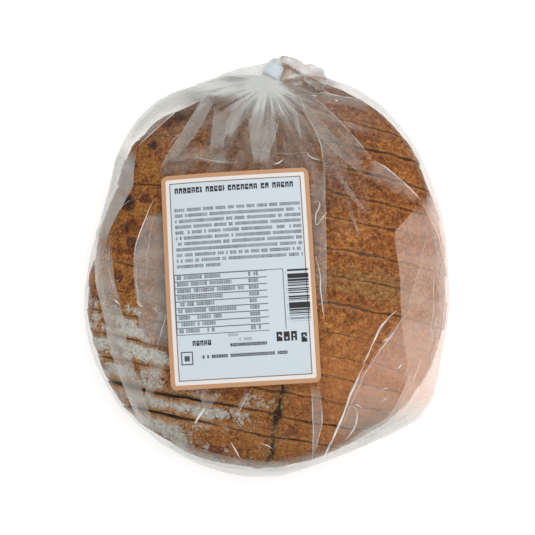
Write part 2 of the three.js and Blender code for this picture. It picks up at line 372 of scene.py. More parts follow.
def crumb_material(settings):
    """Open brown crumb on the cut faces."""
    paint = Paint("crumb")
    spot = paint.place()
    holes = paint.cells(spot, 2.6)
    grain = paint.noise(spot, 1.2, 4, 0.6)
    colour = grain.ramp(
        (0.3, linear(128, 86, 50)),
        (0.55, tuple(settings.crumb_colour)),
        (0.75, linear(206, 168, 122)),
    )
    colour = paint.blend((1 - holes.ease(0.12, 0.3)) * 0.7, colour, linear(92, 56, 30))
    normal = paint.bump(holes.ease(0.1, 0.4) + grain * 0.4, 0.8)
    return paint.finish(paint.plain_shader(Base_Color=colour, Roughness=0.9, Normal=normal))


def film_material(settings):
    """Clear film: nearly invisible where single and flat, milky where it is folded over itself, with
    painted shade in the veil over the fan and painted highlights on the bright folds.
    """
    paint = Paint("clear_film")
    spot = paint.place()
    haze = paint.stored("haze")
    veil = paint.stored("veil")
    skin = paint.stored("skin")
    cloud = paint.noise(spot, 8, 4, 0.6)
    crinkle = paint.noise(spot, 6, 4, 0.55)
    fine = paint.noise(spot, 1.6, 2, 0.5)
    east, north, _ = paint.split(spot)
    across, along = east - GATHER[0], GATHER[1] - north
    distance = (across * across + along * along) ** 0.5
    turn = paint.node("ShaderNodeMath", {"operation": "ARCTAN2"}, {0: across, 1: along})
    ray = paint.join(turn * 7 + cloud * 0.7, distance / 50)
    streaks = paint.noise(ray, 1.0, 3.0, 0.5)
    facing = paint.node("ShaderNodeLayerWeight", {}, {"Blend": 0.5}, out=1)
    pleated = veil * (streaks.ease(0.38, 0.62) * 1.1 + 0.4) * (0.85 + cloud * 0.3)
    loose = paint.stored("tan")
    gathered = distance.ease(9, 18) * (1 - distance.ease(22, 44)) * (1 - loose).most(0.0)
    milky = haze * (0.75 + 0.5 * cloud) * (1 - gathered * (1 - streaks.ease(0.36, 0.6)) * 0.6)
    opacity = milky + pleated + settings.haze + facing ** 4 * 0.05
    opacity = opacity.least(0.95) * skin
    normal = paint.bump(crinkle, 1.1, 0.8)
    normal = paint.bump(streaks * veil, 1.6, 0.5, under=normal)
    normal = paint.bump(fine, 0.08, 0.6, under=normal)
    warm = east.ease(20, 75) * north.ease(-105, -75) * (1 - north.ease(30, 60))
    milk_tone = paint.blend(warm, tuple(settings.film_colour), linear(250, 208, 184))
    milk_tone = paint.blend(cloud * 0.35, milk_tone, linear(232, 232, 230))
    # Painted shade: the milk is darker and greyer in the veil over the fan
    milk_tone = paint.blend((veil * 4 - haze * 3).least(0.9), milk_tone, linear(156, 142, 130))
    milk_tone = paint.blend(loose * crinkle.ease(0.36, 0.56), milk_tone, linear(140, 108, 84))
    # Painted highlight: bright folds are coloured near white
    milk_tone = paint.blend(paint.stored("glint"), milk_tone, linear(250, 250, 250))
    milk = paint.plain_shader(Base_Color=milk_tone, Roughness=0.5, Normal=normal)
    clear = paint.node("ShaderNodeBsdfTransparent", {}, {0: (0.995, 0.99, 0.985, 1)})
    body = paint.node("ShaderNodeMixShader", {}, {0: opacity, 1: clear, 2: milk})
    gloss = paint.node("ShaderNodeBsdfGlossy", {}, {"Roughness": 0.12, "Normal": normal})
    shine = paint.node("ShaderNodeFresnel", {}, {"IOR": 1.24, "Normal": normal})
    whole = paint.node("ShaderNodeMixShader", {}, {0: shine.least(0.2) * skin, 1: body, 2: gloss})
    return paint.finish(whole)


# The printed matter of the label, in millimetres from its upper left corner
HEADER_WORDS = ((8, 24.9), (27, 38.7), (40.5, 58.7), (60.5, 65.7), (67.5, 80.5))
HEADER_TOP = 8.2
HEADER_HEIGHT = 3.5
HEADER_PITCH = 2.6
TEXT_TOP = 20.4
TEXT_STEP = 3.45
TEXT_ROWS = 10
TABLE_TOP = 61.4
TABLE_STEP = 4.0
TABLE_ROWS = 9
TABLE_BOTTOM = TABLE_TOP + TABLE_STEP * TABLE_ROWS
PAPER_CORNER = 4.0
# Bold groups below the table: (left, right, top, height, pitch, seed)
BOLD_GROUPS = (
    (64.6, 77.6, 98.8, 5.6, 4.35, 30.0),
    (79.4, 83.6, 100.0, 5.6, 4.2, 33.0),
    (14.5, 26.2, 101.2, 3.1, 2.3, 40.0),
)
# Small dark lines below the table: (left, right, top, bottom, step, pitch, seed)
DARK_LINES = ((37, 59, 103.4, 106.8, 3.4, 1.5, 50.0), (20, 71, 109.6, 113.0, 3.4, 1.4, 60.0))
# Ruling round the table and a plain square sign: (left, right, top, bottom)
TABLE_RULES = (
    (5.5, 71, TABLE_TOP - 0.3, TABLE_TOP + 0.2),
    (5.4, 5.9, TABLE_TOP, TABLE_BOTTOM),
    (70.6, 71.1, TABLE_TOP, TABLE_BOTTOM),
)
SIGN_OUTSIDE = (7.2, 14.4, 107.4, 115.4)
SIGN_INSIDE = (7.9, 13.7, 108.1, 114.7)
SIGN_CORE = (9.2, 12.4, 110, 113.2)
# Bars of the code and the digits beside them: (left, right, top, bottom), and the step of one bar
BARS = (73.4, 86, 61.8, 93)
BAR_STEP = 0.36
DIGITS = (72.2, 72.6, 62.5, 92)
DIGIT_STEP = 2.5
# Squares along the sheet of the label, and its thickness in millimetres
LABEL_GRID = (60, 86)
PAPER_THICKNESS = 0.25


class Print:
    """Plain marks on the label, in place of its printing."""

    def __init__(self, paint, across, down):
        self.paint = paint
        self.across = across
        self.down = down

    def box(self, left, right, top, bottom):
        return self.across.between(left, right) * self.down.between(top, bottom)

    def step(self, value, size):
        """Which step of a row a place is in, and how far along that step."""
        part = value / size
        return part.math("FLOOR", part), part.math("FRACT", part)

    def chance(self, *places):
        return self.paint.speckle(self.paint.join(*places))

    def marks(self, left, right, top, height, pitch, seed):
        """A row of bold upright blocks with small openings, like a printed word from far away."""
        cell, share = self.step(self.across - left, pitch)
        rise = (self.down - top) / height
        first, second = self.chance(cell, seed), self.chance(cell, seed + 3.3)
        block = share.between(0.05, 0.86) * rise.between(0.0, 1.0)
        hollow = share.between(0.34, 0.58) * (rise - first * 0.4).between(0.2, 0.42)
        foot = share.between(0.34, 0.58) * (rise > 0.68) * (second > 0.5)
        side = (share > 0.62) * rise.between(0.4, 0.58) * (second < 0.35)
        holes = hollow.most(foot).most(side)
        return block * (1 - holes) * self.across.between(left, right)

    def lines(self, left, right, top, bottom, step, pitch, seed):
        """Rows of small grey blocks with gaps between words."""
        row, rise = self.step(self.down - top, step)
        cell, share = self.step(self.across - left, pitch)
        letter, word = self.chance(cell, row, seed), self.chance(cell, row, seed + 7.7)
        tone = (0.6 + letter * 0.4) * (word > 0.14)
        tall = rise.between(0.16, 0.72) * share.between(0.06, 0.9)
        hole = share.between(0.38, 0.66) * rise.between(0.34, 0.52) * (letter > 0.4)
        return tone * tall * (1 - hole * 0.8) * self.box(left, right, top, bottom)


def label_material(settings):
    """Pale paper with a tan border, a thin frame, and plain marks in the place of the printing."""
    paint = Paint("label_print")
    across, down, _ = paint.split(paint.node("ShaderNodeUVMap", {"uv_map": "label_mm"}))
    width, height = settings.label_width / MM, settings.label_height / MM
    side = (across - width / 2).math("ABSOLUTE", across - width / 2) - (width / 2 - PAPER_CORNER)
    end = (down - height / 2).math("ABSOLUTE", down - height / 2) - (height / 2 - PAPER_CORNER)
    outer_side, outer_end = side.most(0.0), end.most(0.0)
    length = (outer_side * outer_side + outer_end * outer_end) ** 0.5
    depth = PAPER_CORNER - length - side.most(end).least(0.0)

    spot = paint.join(across, down)
    paper = paint.blend(paint.noise(spot, 26, 3), tuple(settings.paper_colour), linear(196, 207, 214))
    colour = paint.blend(depth.between(2.7, 5.0), paper, linear(226, 222, 218))
    colour = paint.blend(depth.between(5.0, 5.6), colour, linear(126, 98, 82))
    colour = paint.blend(depth < 2.7, colour, tuple(settings.border_colour))

    ink = Print(paint, across, down)
    black = ink.marks(*HEADER_WORDS[0], HEADER_TOP, HEADER_HEIGHT, HEADER_PITCH, 1.0)
    for number, (left, right) in enumerate(HEADER_WORDS[1:]):
        black = black + ink.marks(left, right, HEADER_TOP, HEADER_HEIGHT, HEADER_PITCH, number * 5.0)
    for group in BOLD_GROUPS:
        black = black + ink.marks(*group)
    for line in DARK_LINES:
        black = black + ink.lines(*line) * 1.3

    text_end = TEXT_TOP + TEXT_STEP * TEXT_ROWS
    grey = ink.lines(7.5, 83.5, TEXT_TOP, text_end, TEXT_STEP, 1.25, 5.0)
    grey = grey + ink.lines(7.5, 34, text_end, text_end + TEXT_STEP, TEXT_STEP, 1.25, 9.0)
    small = ink.lines(36, 42, 97.6, 100.6, 3.0, 1.3, 3.0) + ink.lines(42.5, 50, 100.4, 103.6, 3.2, 1.3, 4.0)
    grey = grey * 0.92 + small * 0.6

    row, rise = ink.step(down - TABLE_TOP, TABLE_STEP)
    table = ink.box(5.8, 61, TABLE_TOP - 0.2, TABLE_BOTTOM + 0.3)
    ruling = table * (rise < 0.11).most(rise > 0.96)
    for rule in TABLE_RULES:
        ruling = ruling + ink.box(*rule)
    black = black + ruling.least(1.0) * 0.8
    reach = ink.chance(row, 1.0) * 24 + 24
    names = ink.lines(7, 58, TABLE_TOP, TABLE_BOTTOM, TABLE_STEP, 1.4, 2.0) * (across < reach)
    values = ink.lines(50, 56, TABLE_TOP, TABLE_BOTTOM, TABLE_STEP, 1.5, 6.0)
    grey = grey + names * 0.9 + values * 0.9

    line, _ = ink.step(down, BAR_STEP)
    bars = ink.box(*BARS) * (ink.chance(line, 7.0) < 0.54)
    digit, digit_rise = ink.step(down, DIGIT_STEP)
    digits = ink.box(*DIGITS) * digit_rise.between(0.2, 0.8) * ink.chance(digit, 8.0)
    mark = ink.box(*SIGN_OUTSIDE) - ink.box(*SIGN_INSIDE) + ink.box(*SIGN_CORE)
    black = (black + bars + mark * 0.9).least(1.0)

    colour = paint.blend((grey + digits * 0.6).least(1.0), colour, linear(40, 42, 48))
    colour = paint.blend(black, colour, linear(24, 24, 28))
    normal = paint.bump(paint.noise(spot, 18, 3), 0.5, 0.6)
    return paint.finish(paint.plain_shader(Base_Color=colour, Roughness=0.5, Normal=normal))


def tape_material():
    """Pale plastic tape, a little cloudy, over the bunched film."""
    paint = Paint("neck_tape")
    spot = paint.place()
    cloud = paint.noise(spot, 4, 3)
    colour = paint.blend(cloud, linear(188, 199, 205), linear(214, 222, 226))
    normal = paint.bump(paint.noise(spot, 2.2, 3), 0.3, 0.8)
    return paint.finish(paint.plain_shader(Base_Color=colour, Roughness=0.3, Normal=normal))


def floor_material(settings):
    paint = Paint("studio_floor")
    spot = paint.place()
    grain = paint.noise(spot, 90, 2)
    base = tuple(settings.floor_colour)
    colour = paint.blend(grain * 0.15, base, tuple(c * 0.97 for c in base))
    return paint.finish(
        paint.plain_shader(Base_Color=colour, Roughness=0.6, Emission_Color=base, Emission_Strength=0.3)
    )


# Mesh helpers


def deselect():
    """Leaves object mode with nothing selected."""
    if bpy.context.object and bpy.context.object.mode != "OBJECT":
        bpy.ops.object.mode_set(mode="OBJECT")
    bpy.ops.object.select_all(action="DESELECT")


def pick(obj):
    deselect()
    obj.select_set(True)
    bpy.context.view_layer.objects.active = obj


def apply_modifier(obj, kind, **settings):
    pick(obj)
    modifier = obj.modifiers.new(kind.lower(), kind)
    for key, value in settings.items():
        setattr(modifier, key, value)
    bpy.ops.object.modifier_apply(modifier=modifier.name)


def points_of(obj):
    """The points of a mesh in millimetres."""
    values = np.empty(len(obj.data.vertices) * 3)
    obj.data.vertices.foreach_get("co", values)
    return values.reshape(-1, 3) / MM


def normals_of(obj):
    """The way that each point of a mesh faces."""
    values = np.empty(len(obj.data.vertices) * 3)
    obj.data.vertices.foreach_get("normal", values)
    return values.reshape(-1, 3)


def set_points(obj, points):
    obj.data.vertices.foreach_set("co", (np.asarray(points) * MM).ravel())
    obj.data.update()


def store(obj, name, values):
    """Keeps one number for each point of the mesh, for its material."""
    layer = obj.data.attributes.get(name) or obj.data.attributes.new(name, "FLOAT", "POINT")
    layer.data.foreach_set("value", np.asarray(values, dtype=np.float32))


def duplicate(obj, name):
    """A separate copy of a piece with a mesh of its own, at the origin and unturned."""
    copy = bpy.data.objects.new(name, obj.data.copy())
    copy.data.name = name
    copy.data.transform(obj.matrix_world)
    bpy.context.collection.objects.link(copy)
    return copy


def adopt(obj, *nodes):
    """Makes a piece ride with the pack and stand for its node."""
    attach(obj, BODY)
    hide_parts(*nodes)


# The loaf

# The scored cross: its middle, and the turn and direction of its long arm
SCORE_CENTRE = (19.5, -18.0)
SCORE_TURN = math.radians(-10)
SCORE_ALONG = (-math.sin(SCORE_TURN), math.cos(SCORE_TURN))
SCORE_SIDE = (math.cos(SCORE_TURN), math.sin(SCORE_TURN))
# Width of the rounding along the cut edges, and the sharpest angle that it leaves alone
EDGE_BEVEL = 0.8
EDGE_ANGLE = math.radians(48)
# Faces larger than this that lie in a cut show crumb, in square millimetres
CRUMB_AREA = 200
# Hollows at the left end, painted darker towards their middle: (x, y, radius, how dark)
PITS = (
    (-87, 38, 4.5, 1.0), (-82, 13, 6.0, 1.0), (-94, 9, 4.5, 0.9), (-85, 22, 7.0, 0.55),
    (-74, 38, 5.0, 0.6), (-90, -8, 4.0, 0.7), (-98, -19, 4.0, 0.6), (-84, -17, 4.5, 0.5),
    (-63, 88, 3.0, 0.9), (-55, 95, 4.5, 1.0), (-72, 74, 3.5, 0.9), (-86, 62, 4.0, 0.9),
    (-66, 62, 3.0, 0.6),
)

# The broad fan of folded film between the gather and the label: its right edge as (y, x)
FAN_RIGHT_EDGE = ((50.0, 34.9), (61.7, 34.4), (75.7, 31.6), (90.1, 25.1), (104.1, 19.6), (112.1, 10.8))
# Where the fan begins at the gather and ends over the label
FAN_TOP = 108.0
FAN_FOOT = 55.0


def under_fan(x, y):
    """1 where the fan of folded film covers the loaf."""
    left = -38 - 0.51 * (FAN_TOP - y)
    right = np.interp(y, [place for place, _ in FAN_RIGHT_EDGE], [edge for _, edge in FAN_RIGHT_EDGE])
    sides = smooth(left - 1.5, left + 2.5, x) * smooth(right + 1.0, right - 1.5, x)
    return sides * smooth(FAN_FOOT - 4, FAN_FOOT + 3, y)


def fan_window(x, y):
    """1 where the crust shows clearly between two folds of the fan."""
    return 0.85 * math.exp(-(((x + 41) / 6) ** 2) - ((y - 75) / 11) ** 2)


def score_places(x, y):
    """Distances from the long and the short arm of the scored cross."""
    offset_x, offset_y = x - SCORE_CENTRE[0], y - SCORE_CENTRE[1]
    side = offset_x * SCORE_SIDE[0] + offset_y * SCORE_SIDE[1]
    along = offset_x * SCORE_ALONG[0] + offset_y * SCORE_ALONG[1]
    short = across_cut(x, y) - 3
    return side, along, short


def pit_at(x, y):
    """How far a place lies in one of the dark hollows at the left end."""
    wide, tall = x + 1.5 * ripple(x, y, 0, 4, 17.0), y + 1.5 * ripple(x, y, 0, 4, 27.0)
    return max(
        dark * math.exp(-(((wide - a) ** 2 + (tall - b) ** 2) / radius ** 2))
        for a, b, radius, dark in PITS
    )


def shape_loaf(obj, height):
    """Turns a rounded cube into the loaf: round plan, domed top, flat foot, uneven crust."""
    points = points_of(obj)
    directions = points / np.linalg.norm(points, axis=1)[:, None]
    shaped = np.empty_like(points)
    for index, (dx, dy, dz) in enumerate(directions):
        angle = math.atan2(dy, dx)
        share = min(1.0, math.hypot(dx, dy))
        radius = loaf_radius(angle) * share
        x = PLAN_MIDDLE[0] + radius * math.cos(angle)
        y = PLAN_MIDDLE[1] + radius * math.sin(angle)
        if dz >= 0:
            z = LOAF_WIDEST + (height - LOAF_WIDEST) * (1 - share ** 2.7) ** (1 / 2.3)
        else:
            z = max(LOAF_FOOT, LOAF_WIDEST - (LOAF_WIDEST + 12) * (1 - share ** 2.7) ** (1 / 2.1))
        outward = Vector((dx, dy, dz * 1.2)).normalized()
        upper = smooth(2, 12, z)
        lump = 1.1 * ripple(x, y, z, 26) + 0.7 * ripple(x, y, z, 11, 4.0) + 0.34 * ripple(x, y, z, 4.4, 9.0)
        hollow = ripple(x, y, z, 8, 21.0)
        left_end = smooth(30, 70, -x + 0.4 * y)
        lump += left_end * (1.3 * ripple(x, y, z, 15, 15.0) - 1.6 * smooth(0.4, 0.64, hollow))
        lump -= 1.9 * pit_at(x, y)
        side, along, short = score_places(x, y)
        wander = 1.6 * ripple(x, y, z, 9, 2.0)
        open_cut = 1.0 if along < -50 else 0.35
        depth = 4.2 * open_cut * math.exp(-(((side + wander) / 2.6) ** 2)) * smooth(-118, -96, along + 1)
        reach = smooth(95, 60, abs(along_cut(x, y) - 20))
        depth += 2.0 * math.exp(-(((short + 1.4 * wander) / 3.4) ** 2)) * reach
        swell = 0.9 * math.exp(-(((abs(side) - 7) / 4) ** 2)) * open_cut
        move = (lump + swell - depth * smooth(0.1, 0.5, dz)) * upper
        shaped[index] = (x + outward.x * move, y + outward.y * move, z + outward.z * move)
    shaped[:, 2] = np.maximum(shaped[:, 2], LOAF_FOOT)
    set_points(obj, shaped)


def cut_slice(loaf, number, low, high):
    """Copies the loaf and bisects away all but one slice."""
    piece = duplicate(loaf, f"slice_{number:02d}")
    pick(piece)
    for place, clear_low in ((low, True), (high, False)):
        if place is None:
            continue
        bpy.ops.object.mode_set(mode="EDIT")
        bpy.ops.mesh.select_all(action="SELECT")
        bpy.ops.mesh.bisect(
            plane_co=(
                (PLAN_MIDDLE[0] + CUT_ACROSS[0] * place) * MM,
                (PLAN_MIDDLE[1] + CUT_ACROSS[1] * place) * MM,
                0,
            ),
            plane_no=(*CUT_ACROSS, 0),
            use_fill=True,
            clear_inner=clear_low,
            clear_outer=not clear_low,
        )
        bpy.ops.object.mode_set(mode="OBJECT")
    return piece


def mark_faces(piece):
    """Gives the cut faces the crumb finish."""
    for polygon in piece.data.polygons:
        flat = abs(polygon.normal.x * CUT_ACROSS[0] + polygon.normal.y * CUT_ACROSS[1])
        polygon.material_index = 1 if polygon.area > CRUMB_AREA * MM * MM and flat > 0.99 else 0


def flour_cover(x, y):
    """How much flour lies on the crust at a place: most at the left and the front left."""
    lean = -0.82 * x - 0.57 * (y + 8)
    cover = smooth(34, 96, lean) * (1 - 0.75 * smooth(-92, -104, across_cut(x, y)) * smooth(-80, -20, x))
    front = smooth(-58, -84, y) * smooth(20, -40, x) * 0.7 * smooth(-114, -92, y)
    patch = 0.5 + 0.8 * smooth(-0.35, 0.35, ripple(x, y, 0, 17, 41.0))
    return min(1.0, max(cover, front) * patch) * smooth(-8, -44, y + 12 * ripple(x, y, 0, 14, 11.0))


# What the crust material reads from its points
CRUST_LOOKS = ("rim", "flour", "torn", "scorch", "pit", "score", "seam", "shade")


def finish_slice(piece, number, low, high):
    """Opens the gaps, roughens the cut edges and stores what the crust material reads."""
    apply_modifier(
        piece, "BEVEL", width=EDGE_BEVEL * MM, segments=2, limit_method="ANGLE", angle_limit=EDGE_ANGLE
    )
    points = points_of(piece)
    normals = normals_of(piece)
    seed = 13.7 * number
    tilt = 0.5 * math.sin(7.3 * number)
    lift = -0.7 - 0.7 * math.sin(4.1 * number + 1)
    shift = 0.5 * math.sin(2.9 * number + 0.6)
    looks = {name: [] for name in CRUST_LOOKS}
    for index, (x, y, z) in enumerate(points):
        along, across = along_cut(x, y), across_cut(x, y)
        near_low = across - low if low is not None else 99.0
        near_high = high - across if high is not None else 99.0
        near = min(near_low, near_high)
        normal = normals[index]
        crust = 1 - smooth(0.6, 0.95, abs(normal[0] * CUT_ACROSS[0] + normal[1] * CUT_ACROSS[1]))
        cut_number = number - 1 if near_low < near_high else number
        gap_left, gap_right, seam_left, seam_right = SEAMS[min(max(cut_number, 0), len(SEAMS) - 1)]
        gap = gap_left + (gap_right - gap_left) * smooth(-95, 30, along)
        gap *= smooth(16, 40, z) * (0.8 + 0.7 * ripple(along, cut_number * 17, 0, 16, 5.0))
        seam = seam_left + (seam_right - seam_left) * smooth(-55, 5, along)
        inward = 0.5 * gap * math.exp(-((near / 4.0) ** 2)) if near < 20 else 0.0
        rough = 0.35 * ripple(along, z, across, 3.0, seed) + 0.4 * ripple(along, z, 0, 8, seed + 5)
        direction = 1 if near_low < near_high else -1
        wander = 1.5 * ripple(along, z / 3, cut_number * 31, 30, 7.0)
        wander += 0.9 * ripple(along, z / 3, cut_number * 31, 10, 1.0)
        push = inward + (abs(rough) if near < 3 else 0.0) + wander * direction * smooth(9, 2, near)
        drop = (0.8 + 0.7 * ripple(along, z, across, 5, seed)) * math.exp(-((near / 2.0) ** 2))
        drop *= smooth(25, 45, z) * (0.2 + 0.8 * seam)
        side, long_place, short = score_places(x, y)
        arm = 0.95 * math.exp(-((short / 11) ** 2)) * smooth(8, 30, along) * smooth(108, 86, along)
        score_crack_and_seam_shade = math.exp(-((side / 6.5) ** 2)) * smooth(-50, -60, long_place)
        patch = smooth(0.1, 0.5, ripple(x, y, z, 20, 31.0)) * math.exp(-(((x + 92) / 16) ** 2))
        patch *= 0.85 * smooth(10, 26, y) * smooth(64, 46, y)
        left_end = smooth(-50, -72, x) * smooth(-52, -22, y) * smooth(86, 60, y)
        points[index] = (
            x + CUT_ACROSS[0] * push * direction + CUT_ALONG[0] * shift,
            y + CUT_ACROSS[1] * push * direction + CUT_ALONG[1] * shift,
            max(LOAF_FOOT, z + (lift + tilt * along / 100) * smooth(5, 25, z) - drop),
        )
        rim = near * (1 - 0.6 * smooth(0.7, 2.6, gap)) if crust > 0.2 else 0.0
        torn = max(arm, 0.7 * score_crack_and_seam_shade, patch)
        front = 0.75 * smooth(-72, -90, across) * smooth(60, 30, along)
        scorch = max(left_end + 0.35 * smooth(-40, -80, x) * smooth(60, 80, y), front)
        score = abs(side + 1.6 * ripple(x, y, 0, 9, 2.0)) if long_place < -50 else 30.0
        # Painted shade: how far the crust is darkened under the fan, beside the label, right of the fan, at
        # the back and at the front
        fan = under_fan(x, y) * (1 - fan_window(x, y))
        beside_label = smooth(-70, -62, x) * smooth(44, 30, y) * smooth(-62, -46, y) * smooth(-40, -48, x)
        right_of_fan = smooth(24, 32, x) * smooth(72, 50, x) * smooth(22, 42, y) * smooth(98, 82, y)
        back = 0.2 * smooth(60, 110, y) * (1 - fan)
        shade = max(0.44 * fan, back, 0.34 * right_of_fan, 0.6 * beside_label)
        shade += 0.17 * smooth(-60, -85, across)
        values = (rim, flour_cover(x, y), torn, scorch, pit_at(x, y), score, seam, shade)
        for name, value in zip(CRUST_LOOKS, values):
            looks[name].append(value)
    set_points(piece, points)
    for name, values in looks.items():
        store(piece, name, values)
    pick(piece)
    bpy.ops.object.shade_smooth_by_angle(angle=math.radians(55))


def model_loaf(grain, height):
    """The whole loaf, from a cube whose squares are spread evenly over a ball."""
    deselect()
    bpy.ops.mesh.primitive_cube_add(size=2)
    loaf = bpy.context.object
    bpy.ops.object.mode_set(mode="EDIT")
    bpy.ops.mesh.subdivide(number_cuts=grain - 1)
    bpy.ops.object.mode_set(mode="OBJECT")
    set_points(loaf, np.tan(points_of(loaf) * MM * math.pi / 4) / MM)
    shape_loaf(loaf, height / MM)
    return loaf


class BREAD_OT_slices(Operator):
    """Models the round loaf and cuts it into slices"""

    bl_idname = "bread.slices"
    bl_label = "Loaf slices"

    def execute(self, context):
        settings = context.scene.bread_loaf
        loaf = model_loaf(settings.grain, settings.loaf_height)
        loaf.data.materials.append(crust_material(settings))
        loaf.data.materials.append(crumb_material(settings))
        limits = (None, *CUTS, None)
        for number, (low, high) in enumerate(zip(limits, limits[1:])):
            piece = cut_slice(loaf, number + 1, low, high)
            mark_faces(piece)
            finish_slice(piece, number, low, high)
            adopt(piece, "bag")
        bpy.data.objects.remove(loaf)
        return {"FINISHED"}


# The film

# Folds that also bound a milky panel, in plan millimetres
OUTER_LEFT_FOLD = ((-39.2, 110.3), (-48.3, 102.3), (-64.8, 86.8), (-81.1, 72.1))
FAN_LEFT_FOLD = ((-38, 108.1), (-43.8, 95.4), (-51.7, 80.7), (-62.7, 62.6), (-65.1, 55.2))
FRONT_LEFT_FOLD = ((-69.8, -61), (-71.2, -71.8), (-74.7, -85.7))
FRONT_BLADE = ((-10.1, -78.3), (-14.9, -87.2), (-19.7, -96.2))
FRONT_STRIP_EDGE = ((26.3, -74.7), (27.3, -89.6), (27.7, -101.7), (27.6, -121.8))
CORNER_FOLD = ((87.4, -65.8), (80.6, -81.5), (73.6, -93.6), (63.9, -99.7), (56, -103.9), (47.6, -110))
RIGHT_BRIGHT_FOLD = ((64.6, 62.7), (75, 56.9), (86.2, 47.3), (95.3, 38.5))
RIGHT_EDGE_FOLD = ((95.3, 38.5), (101.2, 26.2), (106.8, 15), (108.9, 1.1))
LOW_RIGHT_FOLD = ((106.9, -46.2), (103.5, -54.8), (100, -61.6), (95.4, -73.8))
UPPER_RIGHT_FOLD = ((20.7, 109.2), (28.4, 104.9), (39.2, 93.7), (48, 84), (57.4, 72.2), (64.6, 62.7))
CROSSING_FOLD = ((10.7, 109), (20.5, 96.1), (26, 86.6), (35.6, 73.4), (50.8, 59), (63, 49.8))
FAN_OUTER_FOLD = ((18.6, 109.1), (24.8, 104.2), (38.3, 80.2), (43.8, 67.3), (48.6, 53.5), (53.6, 40))
NECK_FOLD = ((13.5, 115.6), (27, 106.8), (39.6, 106), (52.3, 104.3), (65.6, 105.3))
BACK_FOLD = ((28, 97.7), (37.6, 91), (51.5, 86), (65.3, 80.9))
CENTRE_PLEAT = ((-2.3, 95.6), (6.2, 84.3), (2.9, 71.1), (0, 57.8))

